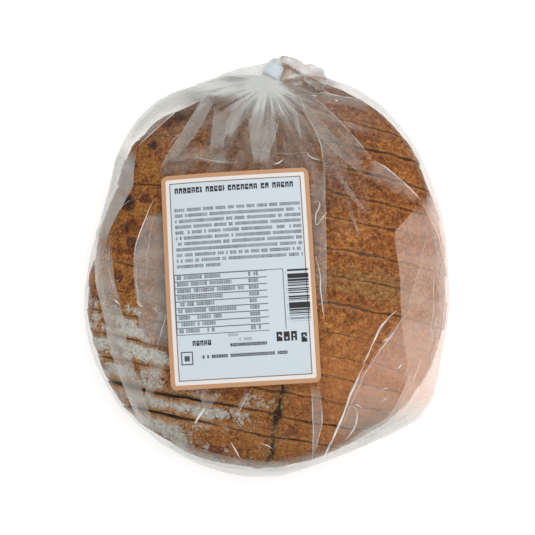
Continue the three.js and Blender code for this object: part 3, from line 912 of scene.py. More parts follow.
# Milky panels where the film lies folded over itself, in plan millimetres:
# (one edge, other edge, haze at the first edge, haze at the other edge)
PANELS = (
    # the broad fan above the label: wide pleats and narrow blades
    (FAN_LEFT_FOLD,
     ((-32.5, 103.3), (-38.4, 88.2), (-45.3, 76), (-53.4, 66.5), (-57.4, 61.3)), 0.42, 0.3),
    (((-32.4, 97.3), (-33.6, 84.6), (-34.9, 67.1)),
     ((-23.4, 93.5), (-25, 82.2), (-26.7, 67)), 0.34, 0.26),
    (((-16.9, 105.3), (-23.4, 91.2), (-26.5, 75.1)),
     ((-12.1, 101.6), (-17.1, 85.5), (-22.7, 75.4)), 0.5, 0.46),
    (((-13.1, 95.7), (-10.7, 82.1), (-7.8, 57.8)),
     CENTRE_PLEAT, 0.4, 0.34),
    (((4.5, 106.4), (8.6, 96.8), (14.5, 87.7)),
     ((8.1, 105.2), (12.2, 96.8), (14.9, 87.7)), 0.5, 0.4),
    (((10.2, 107), (15.3, 93.4), (20.8, 72.3)),
     ((14.4, 105.2), (19.4, 91.2), (21.5, 72.3)), 0.34, 0.4),
    (((10.8, 112.1), (19.6, 104.1), (25.1, 90.1), (31.6, 75.7), (34.4, 61.7), (34.9, 50.1)),
     FAN_OUTER_FOLD, 0.2, 0.08),
    (((-63, 70), (-50, 73), (-35, 71), (-20, 68)),
     ((-60, 60), (-47.2, 62.7), (-30.7, 59.6), (-17.5, 58.9)), 0.06, 0.28),
    # the veil left of the outer fold and down the left side
    (OUTER_LEFT_FOLD,
     ((-44, 117.5), (-60, 109.5), (-76, 95.5), (-90, 78.5)), 0.3, 0.3),
    (((-81.1, 72.1), (-82.4, 56.1), (-82.8, 47.4), (-89.7, 34.6), (-97.9, 18.1), (-97.4, 7.8)),
     ((-92, 76.5), (-98, 62.5), (-101, 48.5), (-105, 34.5), (-109, 18.5), (-111, 7.5)), 0.5, 0.55),
    (((-79, 11.5), (-81, -5.5), (-78, -27.5), (-76.6, -41.8), (-74, -53.5)),
     ((-60, 12.5), (-60, -5.5), (-58.4, -25.5), (-57.4, -41.5), (-60, -56.5)), 0.4, 0.28),
    (((-70.5, 30), (-75.1, 22.9), (-79.2, 11.2), (-80.9, -0.5)),
     ((-62.5, 31), (-62, 22.5), (-61, 11.5), (-60.5, 0)), 0.32, 0.22),
    (((-108, 15.3), (-105.9, -10.6), (-99.6, -33.6), (-96, -51.2), (-86.2, -79.1), (-75.7, -103.8)),
     ((-96, 14.5), (-93, -10.5), (-87, -33.5), (-84, -51.5), (-75, -79.5), (-67, -104.5)), 0.5, 0.34),
    (FRONT_LEFT_FOLD,
     ((-60, -59.5), (-62, -69.5), (-70, -83.5)), 0.3, 0.16),
    # the strip along the right of the label and the folds that cross the right of the loaf
    (((35.8, 58), (35.5, 34.8), (35.6, 12.1), (35.7, -12.1), (35.3, -31.5)),
     ((25, 59.5), (25.5, 34.5), (26.5, 11.5), (28, -11.5), (30, -31.5)), 0.3, 0.16),
    (CROSSING_FOLD,
     ((16, 109.5), (27, 97.5), (34, 88.5), (44, 76.5), (57, 64.5), (66, 56.5)), 0.17, 0.12),
    (UPPER_RIGHT_FOLD,
     ((16, 108.5), (22, 101.5), (32, 90.5), (40, 80.5), (48, 68.5), (54, 59.5)), 0.24, 0.12),
    (RIGHT_BRIGHT_FOLD,
     ((56, 52.5), (67, 46.5), (80, 40.5), (93, 34.5)), 0.3, 0.06),
    (NECK_FOLD,
     ((14, 109.5), (24, 101.5), (40, 98.5), (55, 96.5), (68, 92.5)), 0.36, 0.12),
    (BACK_FOLD,
     ((27, 94.5), (37, 88.5), (51, 82.5), (64, 77.5)), 0.26, 0.1),
    (((42.7, 55.6), (54.4, 39), (63, 28.1)),
     ((39, 54.5), (50, 38.5), (60, 27.5)), 0.24, 0.1),
    (((49.5, 38.9), (53.3, 25.8), (57.3, 12.6)),
     ((46, 38.5), (50.5, 25.5), (56, 12.5)), 0.22, 0.1),
    # the wide panel on the right
    (((94, 38.5), (92.7, 35), (80, 20.4), (77.4, 16.6), (79.3, 1.3), (80.7, -12.7), (81.1, -29.7),
      (82.4, -47.8), (85, -63.5), (80, -83)),
     ((104, 38.5), (106, 30.5), (110, 19.5), (112, 7.5), (113, -5.5), (114, -19.5), (114, -35.5),
      (113, -51.5), (109, -69.5), (101, -86)), 0.34, 0.38),
    (((95.8, 7.4), (93, -3.2), (89.6, -13.2), (86.9, -22.4), (86.2, -29.7)),
     ((103.5, 8), (102.5, -3), (101.5, -13), (101, -22), (101, -33)), 0.2, 0.1),
    (RIGHT_EDGE_FOLD,
     ((103, 48.5), (108, 32.5), (112, 16.5), (114, 1.5)), 0.4, 0.3),
    (LOW_RIGHT_FOLD,
     ((99, -44), (95.5, -53), (92, -60), (87, -72)), 0.3, 0.06),
    # the veil of the lower right corner
    (CORNER_FOLD,
     ((107, -71.5), (100, -85.5), (90, -96.5), (76, -104.5), (63, -110.5), (50, -116.5)), 0.46, 0.44),
    (((86.2, -30.3), (75.4, -43.7), (67.9, -54), (61.8, -62.3), (53.4, -72.5), (46.9, -89.2),
      (42.3, -100.7), (37.1, -112.5)),
     ((105, -30.5), (102, -45.5), (99, -57.5), (94, -71.5), (85, -87.5), (70, -103.5),
      (54, -116.5)), 0.3, 0.3),
    (FRONT_STRIP_EDGE,
     ((31.7, -74.5), (32.7, -89.7), (32.8, -98.7), (29.7, -115.5)), 0.26, 0.24),
    (((-41.3, -78.9), (-38, -87.5), (-37.1, -93.5)),
     ((-26.3, -78.9), (-32, -85.5), (-35, -92.5)), 0.3, 0.26),
    (FRONT_BLADE,
     ((-13.5, -78.5), (-17.5, -87.5), (-21, -95.5)), 0.3, 0.2),
    (((-60, -104), (-40, -113), (-20, -118), (0, -120.5), (25, -120.5)),
     ((-66, -111), (-44, -120), (-22, -125), (0, -127), (25, -127)), 0.14, 0.5),
)

# What the film's material reads from its points
FILM_LOOKS = ("haze", "veil", "skin", "tan", "glint")

# Thickness of the sheets on the film, in millimetres
SHEET_THICKNESS = 0.14
# Points along a panel, and its columns as shares of the way from edge to edge
PANEL_POINTS = 26
PANEL_SHARES = (0, 0.08, 0.2, 0.36, 0.52, 0.68, 0.84, 1)
# Millimetres between the points along a fold, and the fewest and most points of one
FOLD_STEP = 2.2
FOLD_FEWEST = 8
FOLD_MOST = 44
# Height of the folds over the film
FOLD_LIFT = 0.75
WEB_POINTS = 40
WEB_COLUMNS = 10
# A place that has left the top is moved inwards by this share, at most so many times
INWARD_SHARE = 0.01
INWARD_STEPS = 60
# The top ends where it is steeper or lower than this, and its side is widest at the last height
TOP_SLOPE = 0.25
TOP_LOWEST = 20
SIDE_HEIGHT = 27

# The core inside the skin: how much larger than the loaf it is and about which height, the height
# of its foot in millimetres, and the squares along each side of its starting cube
CORE_GROWTH = (1.014, 1.014, 1.03)
CORE_HEIGHT = 25.0
CORE_FOOT = 0.3
CORE_GRAIN = 40

# Folds of the film, as milky lines with painted highlights where they are bright: (points, width,
# brightness)
FOLDS = (
    (OUTER_LEFT_FOLD, 1.0, 0.6),
    (FAN_LEFT_FOLD, 0.9, 0.55),
    (((-61, 71), (-57, 76), (-53, 79.5)), 0.6, 0.9),
    (((-67.3, 44.4), (-78, 40), (-89.1, 35.2), (-103.6, 17.5)), 0.6, 0.5),
    (((-69.1, 37.6), (-72.1, 30.9), (-75.1, 22.9), (-79.2, 11.2), (-80.9, -0.5)), 0.8, 1.0),
    (((-98.5, 12), (-97.9, 0), (-93.5, -13), (-88, -24)), 0.7, 0.5),
    (FRONT_LEFT_FOLD, 0.9, 0.5),
    (((-58.6, -29), (-63, -42), (-66.5, -53.5)), 0.5, 0.9),
    (FRONT_BLADE, 0.9, 0.6),
    (((-21.6, -108.4), (-18.7, -113.9), (-16.3, -118.3)), 0.9, 0.9),
    (((-4.2, -109), (-0.6, -110.2), (3.6, -112.7)), 0.8, 0.9),
    (FRONT_STRIP_EDGE, 0.9, 0.6),
    (((31.7, -78.9), (32.7, -89.7), (32.8, -98.7), (29.7, -112.2)), 0.9, 0.6),
    # the long double fold from the right edge down to the front, with its painted glint
    (((86.2, -30.3), (81.7, -35.2), (75.4, -43.7), (67.9, -54), (61.8, -62.3),
      (56.4, -71.3)), 2.2, 0.6),
    (((83.4, -31.5), (79, -36.5), (72.8, -45), (65.4, -55.5), (59.4, -63.9), (54.2, -72.9)), 0.8, 0.5),
    (((78, -29.8), (71.7, -35.9), (68.6, -39.6), (66.1, -44.4), (61.8, -53.4),
      (57.5, -62.3)), 1.7, 1.0),
    (((58.2, -62.3), (53.4, -72.5), (49.8, -80.8), (46.9, -89.2), (42.3, -100.7), (37.1, -112.5),
      (33.4, -123.1)), 1.8, 1.0),
    (((60.5, -64), (56, -73.5), (52.2, -82), (48.6, -90.5), (43.6, -102)), 0.7, 0.6),
    (CORNER_FOLD, 0.8, 0.45),
    (RIGHT_BRIGHT_FOLD, 1.0, 0.9),
    (RIGHT_EDGE_FOLD, 0.9, 0.5),
    (((98.5, 17), (95.8, 7.4), (93, -3.2), (89.6, -13.2), (86.9, -22.4), (86.2, -29.7)), 0.7, 0.5),
    (((105.4, 8.2), (103, -3.3), (102.1, -12.6), (101.2, -35.4)), 0.7, 0.5),
    (LOW_RIGHT_FOLD, 0.8, 0.5),
    (((89.9, -52.6), (86.1, -61.1), (82.3, -70.7), (78.7, -79.7)), 0.7, 0.5),
    # the folds that spread from the gather to the right
    (UPPER_RIGHT_FOLD, 0.9, 0.65),
    (CROSSING_FOLD, 0.8, 0.45),
    (((10.8, 112.1), (19.6, 104.1), (25.1, 90.1), (31.6, 75.7), (34.4, 61.7), (34.9, 50.1),
      (34.7, 34.5)), 0.9, 0.6),
    (FAN_OUTER_FOLD, 0.7, 0.45),
    (NECK_FOLD, 0.9, 0.7),
    (BACK_FOLD, 0.7, 0.35),
    (((12.1, 117), (21, 117.3), (35.2, 115.7), (49.6, 109.7)), 0.7, 0.6),
    (CENTRE_PLEAT, 0.6, 0.5),
    (((6.5, 93.3), (6.8, 82.1), (1.9, 66.8)), 0.5, 0.5),
    # finer folds in the fan, down the left side and in the veil on the right
    (((-13.7, 101.6), (-12.0, 89.9), (-9.4, 71.1), (-7.8, 61.5)), 0.5, 0.4),
    (((-20.0, 104.1), (-23.9, 91.2), (-26.3, 77.8)), 0.5, 0.4),
    (((-32.4, 97.3), (-33.1, 82.4), (-34.8, 64.9)), 0.5, 0.35),
    (((-8.1, 112.2), (-7.3, 106.4), (-5.4, 101.5), (-2.3, 99.1)), 0.5, 0.5),
    (((10.2, 104.0), (14.3, 93.4), (18.3, 82.1), (20.8, 72.3)), 0.5, 0.4),
    (((20.5, 91.2), (28.6, 84.5), (36.8, 79.6), (42.8, 70.5), (49.2, 56.7)), 0.6, 0.4),
    (((11.4, 118.5), (18.8, 115.5), (31.4, 112.2), (41.9, 110.4), (52.0, 109.0)), 0.6, 0.45),
    (((10.3, 107.6), (16.4, 99.2), (24.5, 85.5), (30.5, 71.3)), 0.5, 0.4),
    (((-38.0, 107.4), (-41.8, 96.4), (-46.7, 87.3)), 0.5, 0.4),
    (((-68.3, 28.1), (-70.6, 16.8), (-72.0, 4.5), (-72.8, -5.7), (-72.2, -13.8)), 1.0, 0.5),
    (((-78.6, -1.4), (-78.8, -11.6), (-77.3, -21.8), (-75.1, -26.9)), 1.2, 0.55),
    (((-96.6, 19.3), (-96.6, 3.5), (-94.5, -11.1), (-90.5, -22.5)), 0.8, 0.45),
    (((-101.9, -4.5), (-99.9, -17.0), (-96.9, -31.4), (-92.5, -43.7)), 0.8, 0.4),
    (((-108.8, 16.0), (-110.9, -0.4), (-111.8, -20.4), (-111.1, -37.0)), 0.7, 0.4),
    (((95.4, -52.7), (91.0, -65.9), (84.7, -78.9), (79.8, -88.0)), 0.9, 0.6),
    (((106.4, -47.4), (102.3, -57.7), (95.5, -69.9), (87.0, -82.0)), 0.9, 0.6),
    (((101.3, -5.7), (102.2, -19.0), (101.0, -35.4), (97.6, -49.7)), 0.8, 0.6),
    (((86.7, -41.8), (85.6, -53.8), (81.4, -63.9)), 0.6, 0.35),
    (((110.7, -12.2), (109.6, -25.7), (108.1, -39.2), (105.3, -52.5)), 0.9, 0.6),
    # short painted glints on the crinkles
    (((70.0, -48.5), (71.5, -47.4), (73.1, -47.1)), 1.1, 0.9),
    (((78.2, -64.9), (80.1, -63.4), (81.6, -61.9)), 1.1, 0.9),
    (((67.9, -77.1), (70.1, -76.7), (73.2, -76.5)), 1.1, 0.9),
    (((69.8, -83.9), (71.1, -83.2), (72.3, -81.9)), 1.1, 0.9),
    (((53.0, -86.3), (55.0, -86.9), (56.9, -88.4)), 1.1, 0.9),
    (((28.5, 105.6), (30.1, 104.9), (32.0, 104.9)), 1.1, 0.9),
    (((42.8, 102.4), (43.6, 101.5), (44.7, 101.8)), 1.1, 0.9),
    (((13.0, 128.2), (13.9, 127.3), (15.0, 127.8)), 1.1, 0.9),
    (((-78.3, -23.8), (-76.2, -26.8), (-74.4, -27.9)), 1.1, 0.9),
    (((-92.6, -22.9), (-90.2, -25.5), (-88.3, -26.6)), 1.1, 0.9),
    # the lines and painted glints along the edges of the label
    (((-47.2, 65.7), (-41, 62.9), (-28.7, 60.6), (-17.5, 59.9)), 0.7, 0.6),
    (((0.8, 61.5), (5.9, 65.7), (14.1, 65.8), (24.3, 66.4)), 0.6, 0.5),
    (((24.3, 66.4), (27.3, 63.2), (33.4, 61.4)), 0.9, 1.0),
    (((3.9, 59.4), (6.4, 59.1), (10, 61.5)), 1.0, 1.0),
    (((35.8, 50), (35.5, 34.8), (35.6, 12.1), (35.7, -12.1), (35.3, -31.5)), 0.8, 0.45),
    (((29.5, 2.3), (31.8, -9.1), (32.4, -21.1), (34.1, -34.9)), 1.1, 0.95),
    (((28.2, 34.1), (30.9, 36.6), (32.1, 32.9), (29.6, 28), (29.6, 20.6), (33.2, 24.9),
      (36.3, 29.2)), 1.1, 0.95),
    (((51.1, -86.1), (54.3, -91), (53.3, -98.9), (48, -107.5)), 1.1, 0.95),
    (((-37.1, -88.5), (-40.2, -92.7), (-43.3, -97.5)), 1.8, 0.9),
)

# Film stretched from the bag to the neck and to the loose end, as sheets in space:
# (free edge, edge on the bag, haze at the free edge, haze on the bag, how brown the crust makes it)
WEBS = (
    (
        ((3.5, 127.6, 47.5), (-1, 126.8, 46.5), (-9.4, 126.6, 41.5), (-17.2, 126.2, 38),
         (-26, 123.9, 35.5), (-36, 121, 32), (-46, 117.8, 30)),
        ((3, 117, 46), (-1.5, 116.5, 45.6), (-9, 115, 44), (-17, 114, 42.5), (-26, 112, 41),
         (-35, 109.5, 39), (-44, 107, 36)),
        0.75, 0.9, 0.0,
    ),
    (
        ((9.5, 126.5, 48.3), (14, 124.5, 48.8), (19, 121, 49.8), (26, 117, 51.2), (35, 112, 51.4)),
        ((6.5, 116, 45), (11, 114.5, 43.5), (17, 113, 42), (25, 110.5, 41.5), (34, 107, 42)),
        0.95, 0.8, 1.0,
    ),
)


def smooth_line(points, count):
    """Spreads points evenly along a smooth curve through the given ones."""
    given = [Vector((*p, 0)[:3]) for p in points]
    dense = []
    for i in range(len(given) - 1):
        before, after = given[max(i - 1, 0)], given[min(i + 2, len(given) - 1)]
        start, end = given[i], given[i + 1]
        for step in range(12):
            t = step / 12
            dense.append(
                0.5 * (2 * start + (end - before) * t + (2 * before - 5 * start + 4 * end - after) * t * t
                       + (3 * start - before - 3 * end + after) * t ** 3)
            )
    dense.append(given[-1])
    lengths = np.cumsum([0.0] + [(b - a).length for a, b in zip(dense, dense[1:])])
    wanted = np.linspace(0, lengths[-1], count)
    return list(zip(*(np.interp(wanted, lengths, [p[axis] for p in dense]) for axis in range(3))))


class Draper:
    """Lays thin sheets on the top of the film."""

    def __init__(self, film):
        self.tree = BVHTree.FromObject(film, bpy.context.evaluated_depsgraph_get())
        self.points, self.faces = [], []
        self.looks = {name: [] for name in FILM_LOOKS}

    def top(self, x, y):
        """The film's top at a place, and the way it faces there."""
        hit, normal, _, _ = self.tree.ray_cast(Vector((x * MM, y * MM, RAY_START)), Vector((0, 0, -1)))
        return hit, normal

    def keep_on(self, x, y):
        """Moves a place towards the middle of the pack until the film lies under it."""
        for step in range(INWARD_STEPS):
            share = 1 - INWARD_SHARE * step
            near = (
                PLAN_MIDDLE[0] + (x - PLAN_MIDDLE[0]) * share,
                PLAN_MIDDLE[1] + (y - PLAN_MIDDLE[1]) * share,
            )
            hit, normal = self.top(*near)
            if hit is not None and normal.z > TOP_SLOPE and hit.z > TOP_LOWEST * MM:
                return near
        return x, y

    def drop(self, x, y, lift):
        """The point of the film's top at a place, raised off it in millimetres."""
        hit, normal = self.top(x, y)
        if hit is None:
            hit, normal, _, _ = self.tree.find_nearest(Vector((x * MM, y * MM, SIDE_HEIGHT * MM)))
        return (hit + normal * lift * MM) / MM

    def sheet(self, layers, haze, tan=0.0, glint=0.0):
        """A closed sheet from its top and its underside, each as rows of points."""
        count, width = len(haze), len(haze[0])
        base = len(self.points)
        second = base + count * width
        for under, layer in enumerate(layers):
            for row, haze_row in zip(layer, haze):
                for point, value in zip(row, haze_row):
                    self.points.append(point)
                    seen = 0.0 if under else value
                    values = (seen, 0.0, min(1.0, seen / 0.12), tan, glint)
                    for name, look in zip(FILM_LOOKS, values):
                        self.looks[name].append(look)

        def corners(*places):
            return tuple((base, second)[layer] + i * width + j for i, j, layer in places)

        for i in range(count - 1):
            for j in range(width - 1):
                self.faces.append(corners((i, j, 0), (i, j + 1, 0), (i + 1, j + 1, 0), (i + 1, j, 0)))
                self.faces.append(corners((i, j, 1), (i + 1, j, 1), (i + 1, j + 1, 1), (i, j + 1, 1)))
            self.faces.append(corners((i, 0, 0), (i + 1, 0, 0), (i + 1, 0, 1), (i, 0, 1)))
            last = width - 1
            self.faces.append(corners((i, last, 0), (i, last, 1), (i + 1, last, 1), (i + 1, last, 0)))
        for j in range(width - 1):
            self.faces.append(corners((0, j, 0), (0, j, 1), (0, j + 1, 1), (0, j + 1, 0)))
            last = count - 1
            self.faces.append(corners((last, j, 0), (last, j + 1, 0), (last, j + 1, 1), (last, j, 1)))

    def laid(self, rows, lifts):
        """Top and underside of a sheet that lies on the film."""
        return [
            [
                [self.drop(*place, lift - under) for place, lift in zip(row, lift_row)]
                for row, lift_row in zip(rows, lifts)
            ]
            for under in (0.0, SHEET_THICKNESS)
        ]

    def panel(self, first, second, haze_first, haze_second, lift):
        """A milky panel between two edges."""
        one = [self.keep_on(*place[:2]) for place in smooth_line(first, PANEL_POINTS)]
        other = [self.keep_on(*place[:2]) for place in smooth_line(second, PANEL_POINTS)]
        rows, lifts, haze = [], [], []
        for k, (a, b) in enumerate(zip(one, other)):
            rows.append([(a[0] + (b[0] - a[0]) * s, a[1] + (b[1] - a[1]) * s) for s in PANEL_SHARES])
            lifts.append([lift + 0.4 * math.sin(math.pi * s) for s in PANEL_SHARES])
            fade = smooth(-0.5, 4, k) * smooth(-0.5, 5, PANEL_POINTS - 1 - k)
            fold = 0.8 + 0.35 * ripple(*a, 0, 9, 5.0)
            row = []
            for s in PANEL_SHARES:
                clear = s >= 0.95 and haze_second <= 0.2
                row.append(0.0 if clear else (haze_first + (haze_second - haze_first) * s) * fade * fold)
            haze.append(row)
        self.sheet(self.laid(rows, lifts), haze)

    def fold(self, points, width, brightness, lift):
        """A raised milky fold along a line, with a painted highlight where its brightness is high."""
        length = sum(math.dist(a, b) for a, b in zip(points, points[1:]))
        count = int(min(FOLD_MOST, max(FOLD_FEWEST, length / FOLD_STEP)))
        line = [self.keep_on(*place[:2]) for place in smooth_line(points, count)]
        rows, lifts, haze = [], [], []
        for k, (x, y) in enumerate(line):
            before, after = line[max(k - 1, 0)], line[min(k + 1, len(line) - 1)]
            along = Vector((after[0] - before[0], after[1] - before[1])).normalized()
            side = Vector((-along.y, along.x))
            taper = math.sin(math.pi * (k + 0.5) / len(line)) ** 0.4
            wobble = 0.35 * ripple(x, y, 0, 7, 3.0)
            swell = taper * (0.75 + 0.5 * ripple(x, y, 0, 12, 6.0))
            offsets = [s * 0.5 * width * swell + wobble for s in (-1, -0.6, 0, 0.6, 1)]
            rows.append([(x + side.x * o, y + side.y * o) for o in offsets])
            lifts.append([lift + 0.5 * width * h * swell for h in (0, 0.7, 1, 0.7, 0)])
            shine = brightness * (0.75 + 0.5 * ripple(x, y, 0, 5, 9.0))
            haze.append([shine * v * taper for v in (0.2, 1, 1, 1, 0.2)])
        # Painted highlight: the fold's glint colour follows its brightness
        self.sheet(self.laid(rows, lifts), haze, glint=smooth(0.4, 0.8, brightness))

    def web(self, free, held, haze_free, haze_held, tan):
        """Film stretched in space between a free edge and an edge on the bag."""
        shares = [j / (WEB_COLUMNS - 1) for j in range(WEB_COLUMNS)]
        top, haze = [], []
        edges = zip(smooth_line(free, WEB_POINTS), smooth_line(held, WEB_POINTS))
        for k, (a, b) in enumerate(edges):
            row, values = [], []
            for s in shares:
                x, y, z = (first + (second - first) * s for first, second in zip(a, b))
                pleat = 0.5 * ripple(k * 0.9, s * 2, 0, 6, 4.0) * math.sin(math.pi * min(1.0, s + 0.3))
                ragged = 0.9 * tan * ripple(k * 1.3, 0, 0, 3.0, 8.0) * (1 - s)
                row.append(Vector((x, y + ragged, z + pleat)))
                level = haze_free + (haze_held - haze_free) * s
                values.append(level * (0.9 + 0.3 * ripple(k * 0.7, s * 3, 0, 4.0, 6.0)))
            top.append(row)
            haze.append(values)
        under = [[point - Vector((0, 0, SHEET_THICKNESS)) for point in row] for row in top]
        self.sheet((top, under), haze, tan=tan)

    def make(self, name):
        mesh = bpy.data.meshes.new(name)
        mesh.from_pydata([tuple(Vector(p) * MM) for p in self.points], [], self.faces)
        obj = bpy.data.objects.new(name, mesh)
        bpy.context.collection.objects.link(obj)
        for look, values in self.looks.items():
            store(obj, look, values)
        return obj


# How milky the film is between the loaf and the outline, by direction: (degrees, haze)
MARGIN_HAZE = (
    (-180, 0.5), (-150, 0.45), (-125, 0.6), (-95, 0.8), (-70, 0.75), (-45, 0.8), (-20, 0.6), (0, 0.5),
    (30, 0.5), (50, 0.75), (80, 0.8), (100, 0.9), (125, 0.9), (150, 0.8), (180, 0.5),
)


def film_look(x, y, z, normal_z):
    """How milky the film is at a place, how far it is veiled by folds, and how brown its loose end is."""
    off_x, off_y = x - GATHER[0], GATHER[1] - y
    distance = math.hypot(off_x, off_y)
    bunch = 0.85 * math.exp(-((distance / 11) ** 2))
    around = smooth(95, 20, distance) * smooth(-8, 12, off_y + 10)
    veil = (0.17 * under_fan(x, y) + 0.14 * around) * (1 - fan_window(x, y))
    bunch = max(bunch, 0.75 * math.exp(-((distance / 24) ** 2)))
    behind = 0.85 * smooth(13, 1, off_y + 2.5 * ripple(x, y, 0, 9, 8.0))
    behind *= smooth(-70, -45, off_x) * smooth(14, 4, off_x)

    angle = math.degrees(math.atan2(y - PLAN_MIDDLE[1], x - PLAN_MIDDLE[0]))
    reach = math.hypot(x - PLAN_MIDDLE[0], y - PLAN_MIDDLE[1])
    margin = np.interp(angle, [a for a, _ in MARGIN_HAZE], [h for _, h in MARGIN_HAZE])
    out = smooth(-7, 3, reach - loaf_radius(math.radians(angle)))
    low_border = smooth(9, 29, z + 7 * ripple(x, y, 0, 16, 12.0))
    rim = margin * out * low_border * (0.72 + 0.5 * ripple(angle, z / 3, 0, 7, 3.0))
    rim *= smooth(-0.05, 0.3, normal_z)
    loose = smooth(7, 11, off_x) * smooth(47, 41, off_x) * smooth(4, -1, off_y)
    plain = max(bunch, rim * (1 - 0.5 * loose), behind, 0.3 * loose)
    return plain, veil * smooth(16, 28, z), 0.85 * loose


class BREAD_OT_film(Operator):
    """Makes the clear bag from the part's own shape, with its folds and milky pleats"""

    bl_idname = "bread.film"
    bl_label = "Film bag"

    def wrap(self, settings):
        """One skin round the part's own bag and a slightly larger loaf."""
        film = duplicate(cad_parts["bag"], "film_bag")
        film.data.materials.clear()
        loaf = model_loaf(CORE_GRAIN, bpy.context.scene.bread_loaf.loaf_height)
        points = points_of(loaf)
        middle = np.array((*PLAN_MIDDLE, CORE_HEIGHT))
        points = middle + (points - middle) * np.array(CORE_GROWTH)
        points[:, 2] = np.maximum(points[:, 2], CORE_FOOT)
        set_points(loaf, points)
        deselect()
        loaf.select_set(True)
        film.select_set(True)
        bpy.context.view_layer.objects.active = film
        bpy.ops.object.join()
        bpy.ops.object.mode_set(mode="EDIT")
        bpy.ops.mesh.select_all(action="SELECT")
        bpy.ops.mesh.remove_doubles(threshold=MERGE_GAP)
        bpy.ops.object.mode_set(mode="OBJECT")
        apply_modifier(film, "REMESH", mode="VOXEL", voxel_size=settings.mesh_size)
        apply_modifier(film, "SMOOTH", factor=0.5, iterations=3)
        return film

    def crease(self, film):
        """Gives the skin small waves and pleats, and stores how milky it is."""
        points = points_of(film)
        normals = normals_of(film)
        looks = {name: [] for name in FILM_LOOKS}
        for index, (x, y, z) in enumerate(points):
            normal = normals[index]
            wave = 0.35 * ripple(x, y, z, 15, 5.0) + 0.2 * ripple(x, y, z, 6, 8.0)
            off_x, off_y = x - GATHER[0], GATHER[1] - y
            distance = math.hypot(off_x, off_y)
            pleat = ripple(math.atan2(off_x, off_y) * 12, distance / 60, 0, 1, 2.0)
            wave += 0.9 * pleat * smooth(80, 25, distance) * smooth(4, 14, distance)
            points[index] += normal * wave * smooth(1, 6, z)
            haze, veil, tan = film_look(x, y, z, normal[2])
            for name, value in zip(FILM_LOOKS, (haze, veil, 1.0, tan, 0.0)):
                looks[name].append(value)
        points[:, 2] = np.maximum(points[:, 2], 0.0)
        set_points(film, points)
        for name, values in looks.items():
            store(film, name, values)

    def execute(self, context):
        settings = context.scene.bread_film
        film = self.wrap(settings)
        self.crease(film)
        draper = Draper(film)
        for number, panel in enumerate(PANELS):
            draper.panel(*panel, 0.3 + 0.07 * (number % 4))
        for line, width, brightness in FOLDS:
            draper.fold(line, width, brightness, FOLD_LIFT)
        for web in WEBS:
            draper.web(*web)
        folds = draper.make("film_folds")
        deselect()
        folds.select_set(True)
        film.select_set(True)
        context.view_layer.objects.active = film
        bpy.ops.object.join()
        film.data.materials.append(film_material(settings))
        pick(film)
        bpy.ops.object.shade_smooth_by_angle(angle=math.radians(70))
        film.visible_shadow = False
        adopt(film, "bag")
        return {"FINISHED"}


# Label and tape


class BREAD_OT_label(Operator):
    """Lays the paper label over the top of the bag"""

    bl_idname = "bread.label"
    bl_label = "Paper label"

    def execute(self, context):
        settings = context.scene.bread_label
        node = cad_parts["label"]
        low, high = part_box("label")
        middle_x, middle_y = ((a + b) / 2 / MM for a, b in zip(low[:2], high[:2]))
        tree = BVHTree.FromObject(node, context.evaluated_depsgraph_get())
        width, height = settings.label_width / MM, settings.label_height / MM
        deselect()
        bpy.ops.mesh.primitive_grid_add(x_subdivisions=LABEL_GRID[0], y_subdivisions=LABEL_GRID[1], size=1)
        label = context.object
        label.name = label.data.name = "paper_label"
        points = points_of(label) * MM
        corner = settings.label_corner / MM
        turn = settings.label_turn
        layer = label.data.uv_layers[0] if label.data.uv_layers else label.data.uv_layers.new()
        layer.name = "label_mm"
        flat = []
        for index, (x, y, _) in enumerate(points):
            x, y = x * width, y * height
            hold_x = math.copysign(width / 2 - corner, x)
            hold_y = math.copysign(height / 2 - corner, y)
            past = Vector((x - hold_x, y - hold_y))
            if past.x * hold_x > 0 and past.y * hold_y > 0 and past.length > corner:
                past = past.normalized() * corner
                x, y = hold_x + past.x, hold_y + past.y
            flat.append((x + width / 2, height / 2 - y))
            plan_x = middle_x + x * math.cos(turn) - y * math.sin(turn)
            plan_y = middle_y + x * math.sin(turn) + y * math.cos(turn)
            start = Vector((plan_x * MM * 0.999, plan_y * MM * 0.999, RAY_START))
            hit = tree.ray_cast(start, Vector((0, 0, -1)))[0]
            if hit is None:
                hit = tree.find_nearest(Vector((plan_x * MM, plan_y * MM, high[2])))[0]
            cockle = 0.22 * ripple(plan_x, plan_y, 0, 22, 1.0) + 0.08 * ripple(plan_x, plan_y, 0, 8, 6.0)
            points[index] = (plan_x, plan_y, hit.z / MM + cockle)
        for loop in label.data.loops:
            layer.data[loop.index].uv = flat[loop.vertex_index]
        set_points(label, points)
        apply_modifier(label, "SOLIDIFY", thickness=PAPER_THICKNESS * MM, offset=-1)
        label.data.materials.append(label_material(settings))
        pick(label)
        bpy.ops.object.shade_smooth_by_angle(angle=math.radians(40))
        adopt(label, "label")
        return {"FINISHED"}


class BREAD_OT_tape(Operator):
    """Wraps the tape round the neck of the bag"""

    bl_idname = "bread.tape"
    bl_label = "Neck tape"

    def execute(self, context):
        tape = duplicate(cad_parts["tape"], "neck_tape")
        tape.data.materials.clear()
        pick(tape)
        bpy.ops.object.mode_set(mode="EDIT")
        bpy.ops.mesh.select_all(action="SELECT")
        bpy.ops.mesh.remove_doubles(threshold=MERGE_GAP)
        bpy.ops.mesh.tris_convert_to_quads()
        bpy.ops.mesh.subdivide(number_cuts=2)
        bpy.ops.object.mode_set(mode="OBJECT")
        points = points_of(tape)
        for index, (x, y, z) in enumerate(points):
            points[index] += 0.22 * ripple(x, y, z, 3.2, 2.0) * np.array((0.6, 0.6, 1.0))
        set_points(tape, points)
        tape.data.materials.append(tape_material())
        pick(tape)
        bpy.ops.object.shade_smooth_by_angle(angle=math.radians(50))
        adopt(tape, "tape")
        return {"FINISHED"}


# Floor, light and camera

# Side of the floor in metres
FLOOR_SIDE = 4
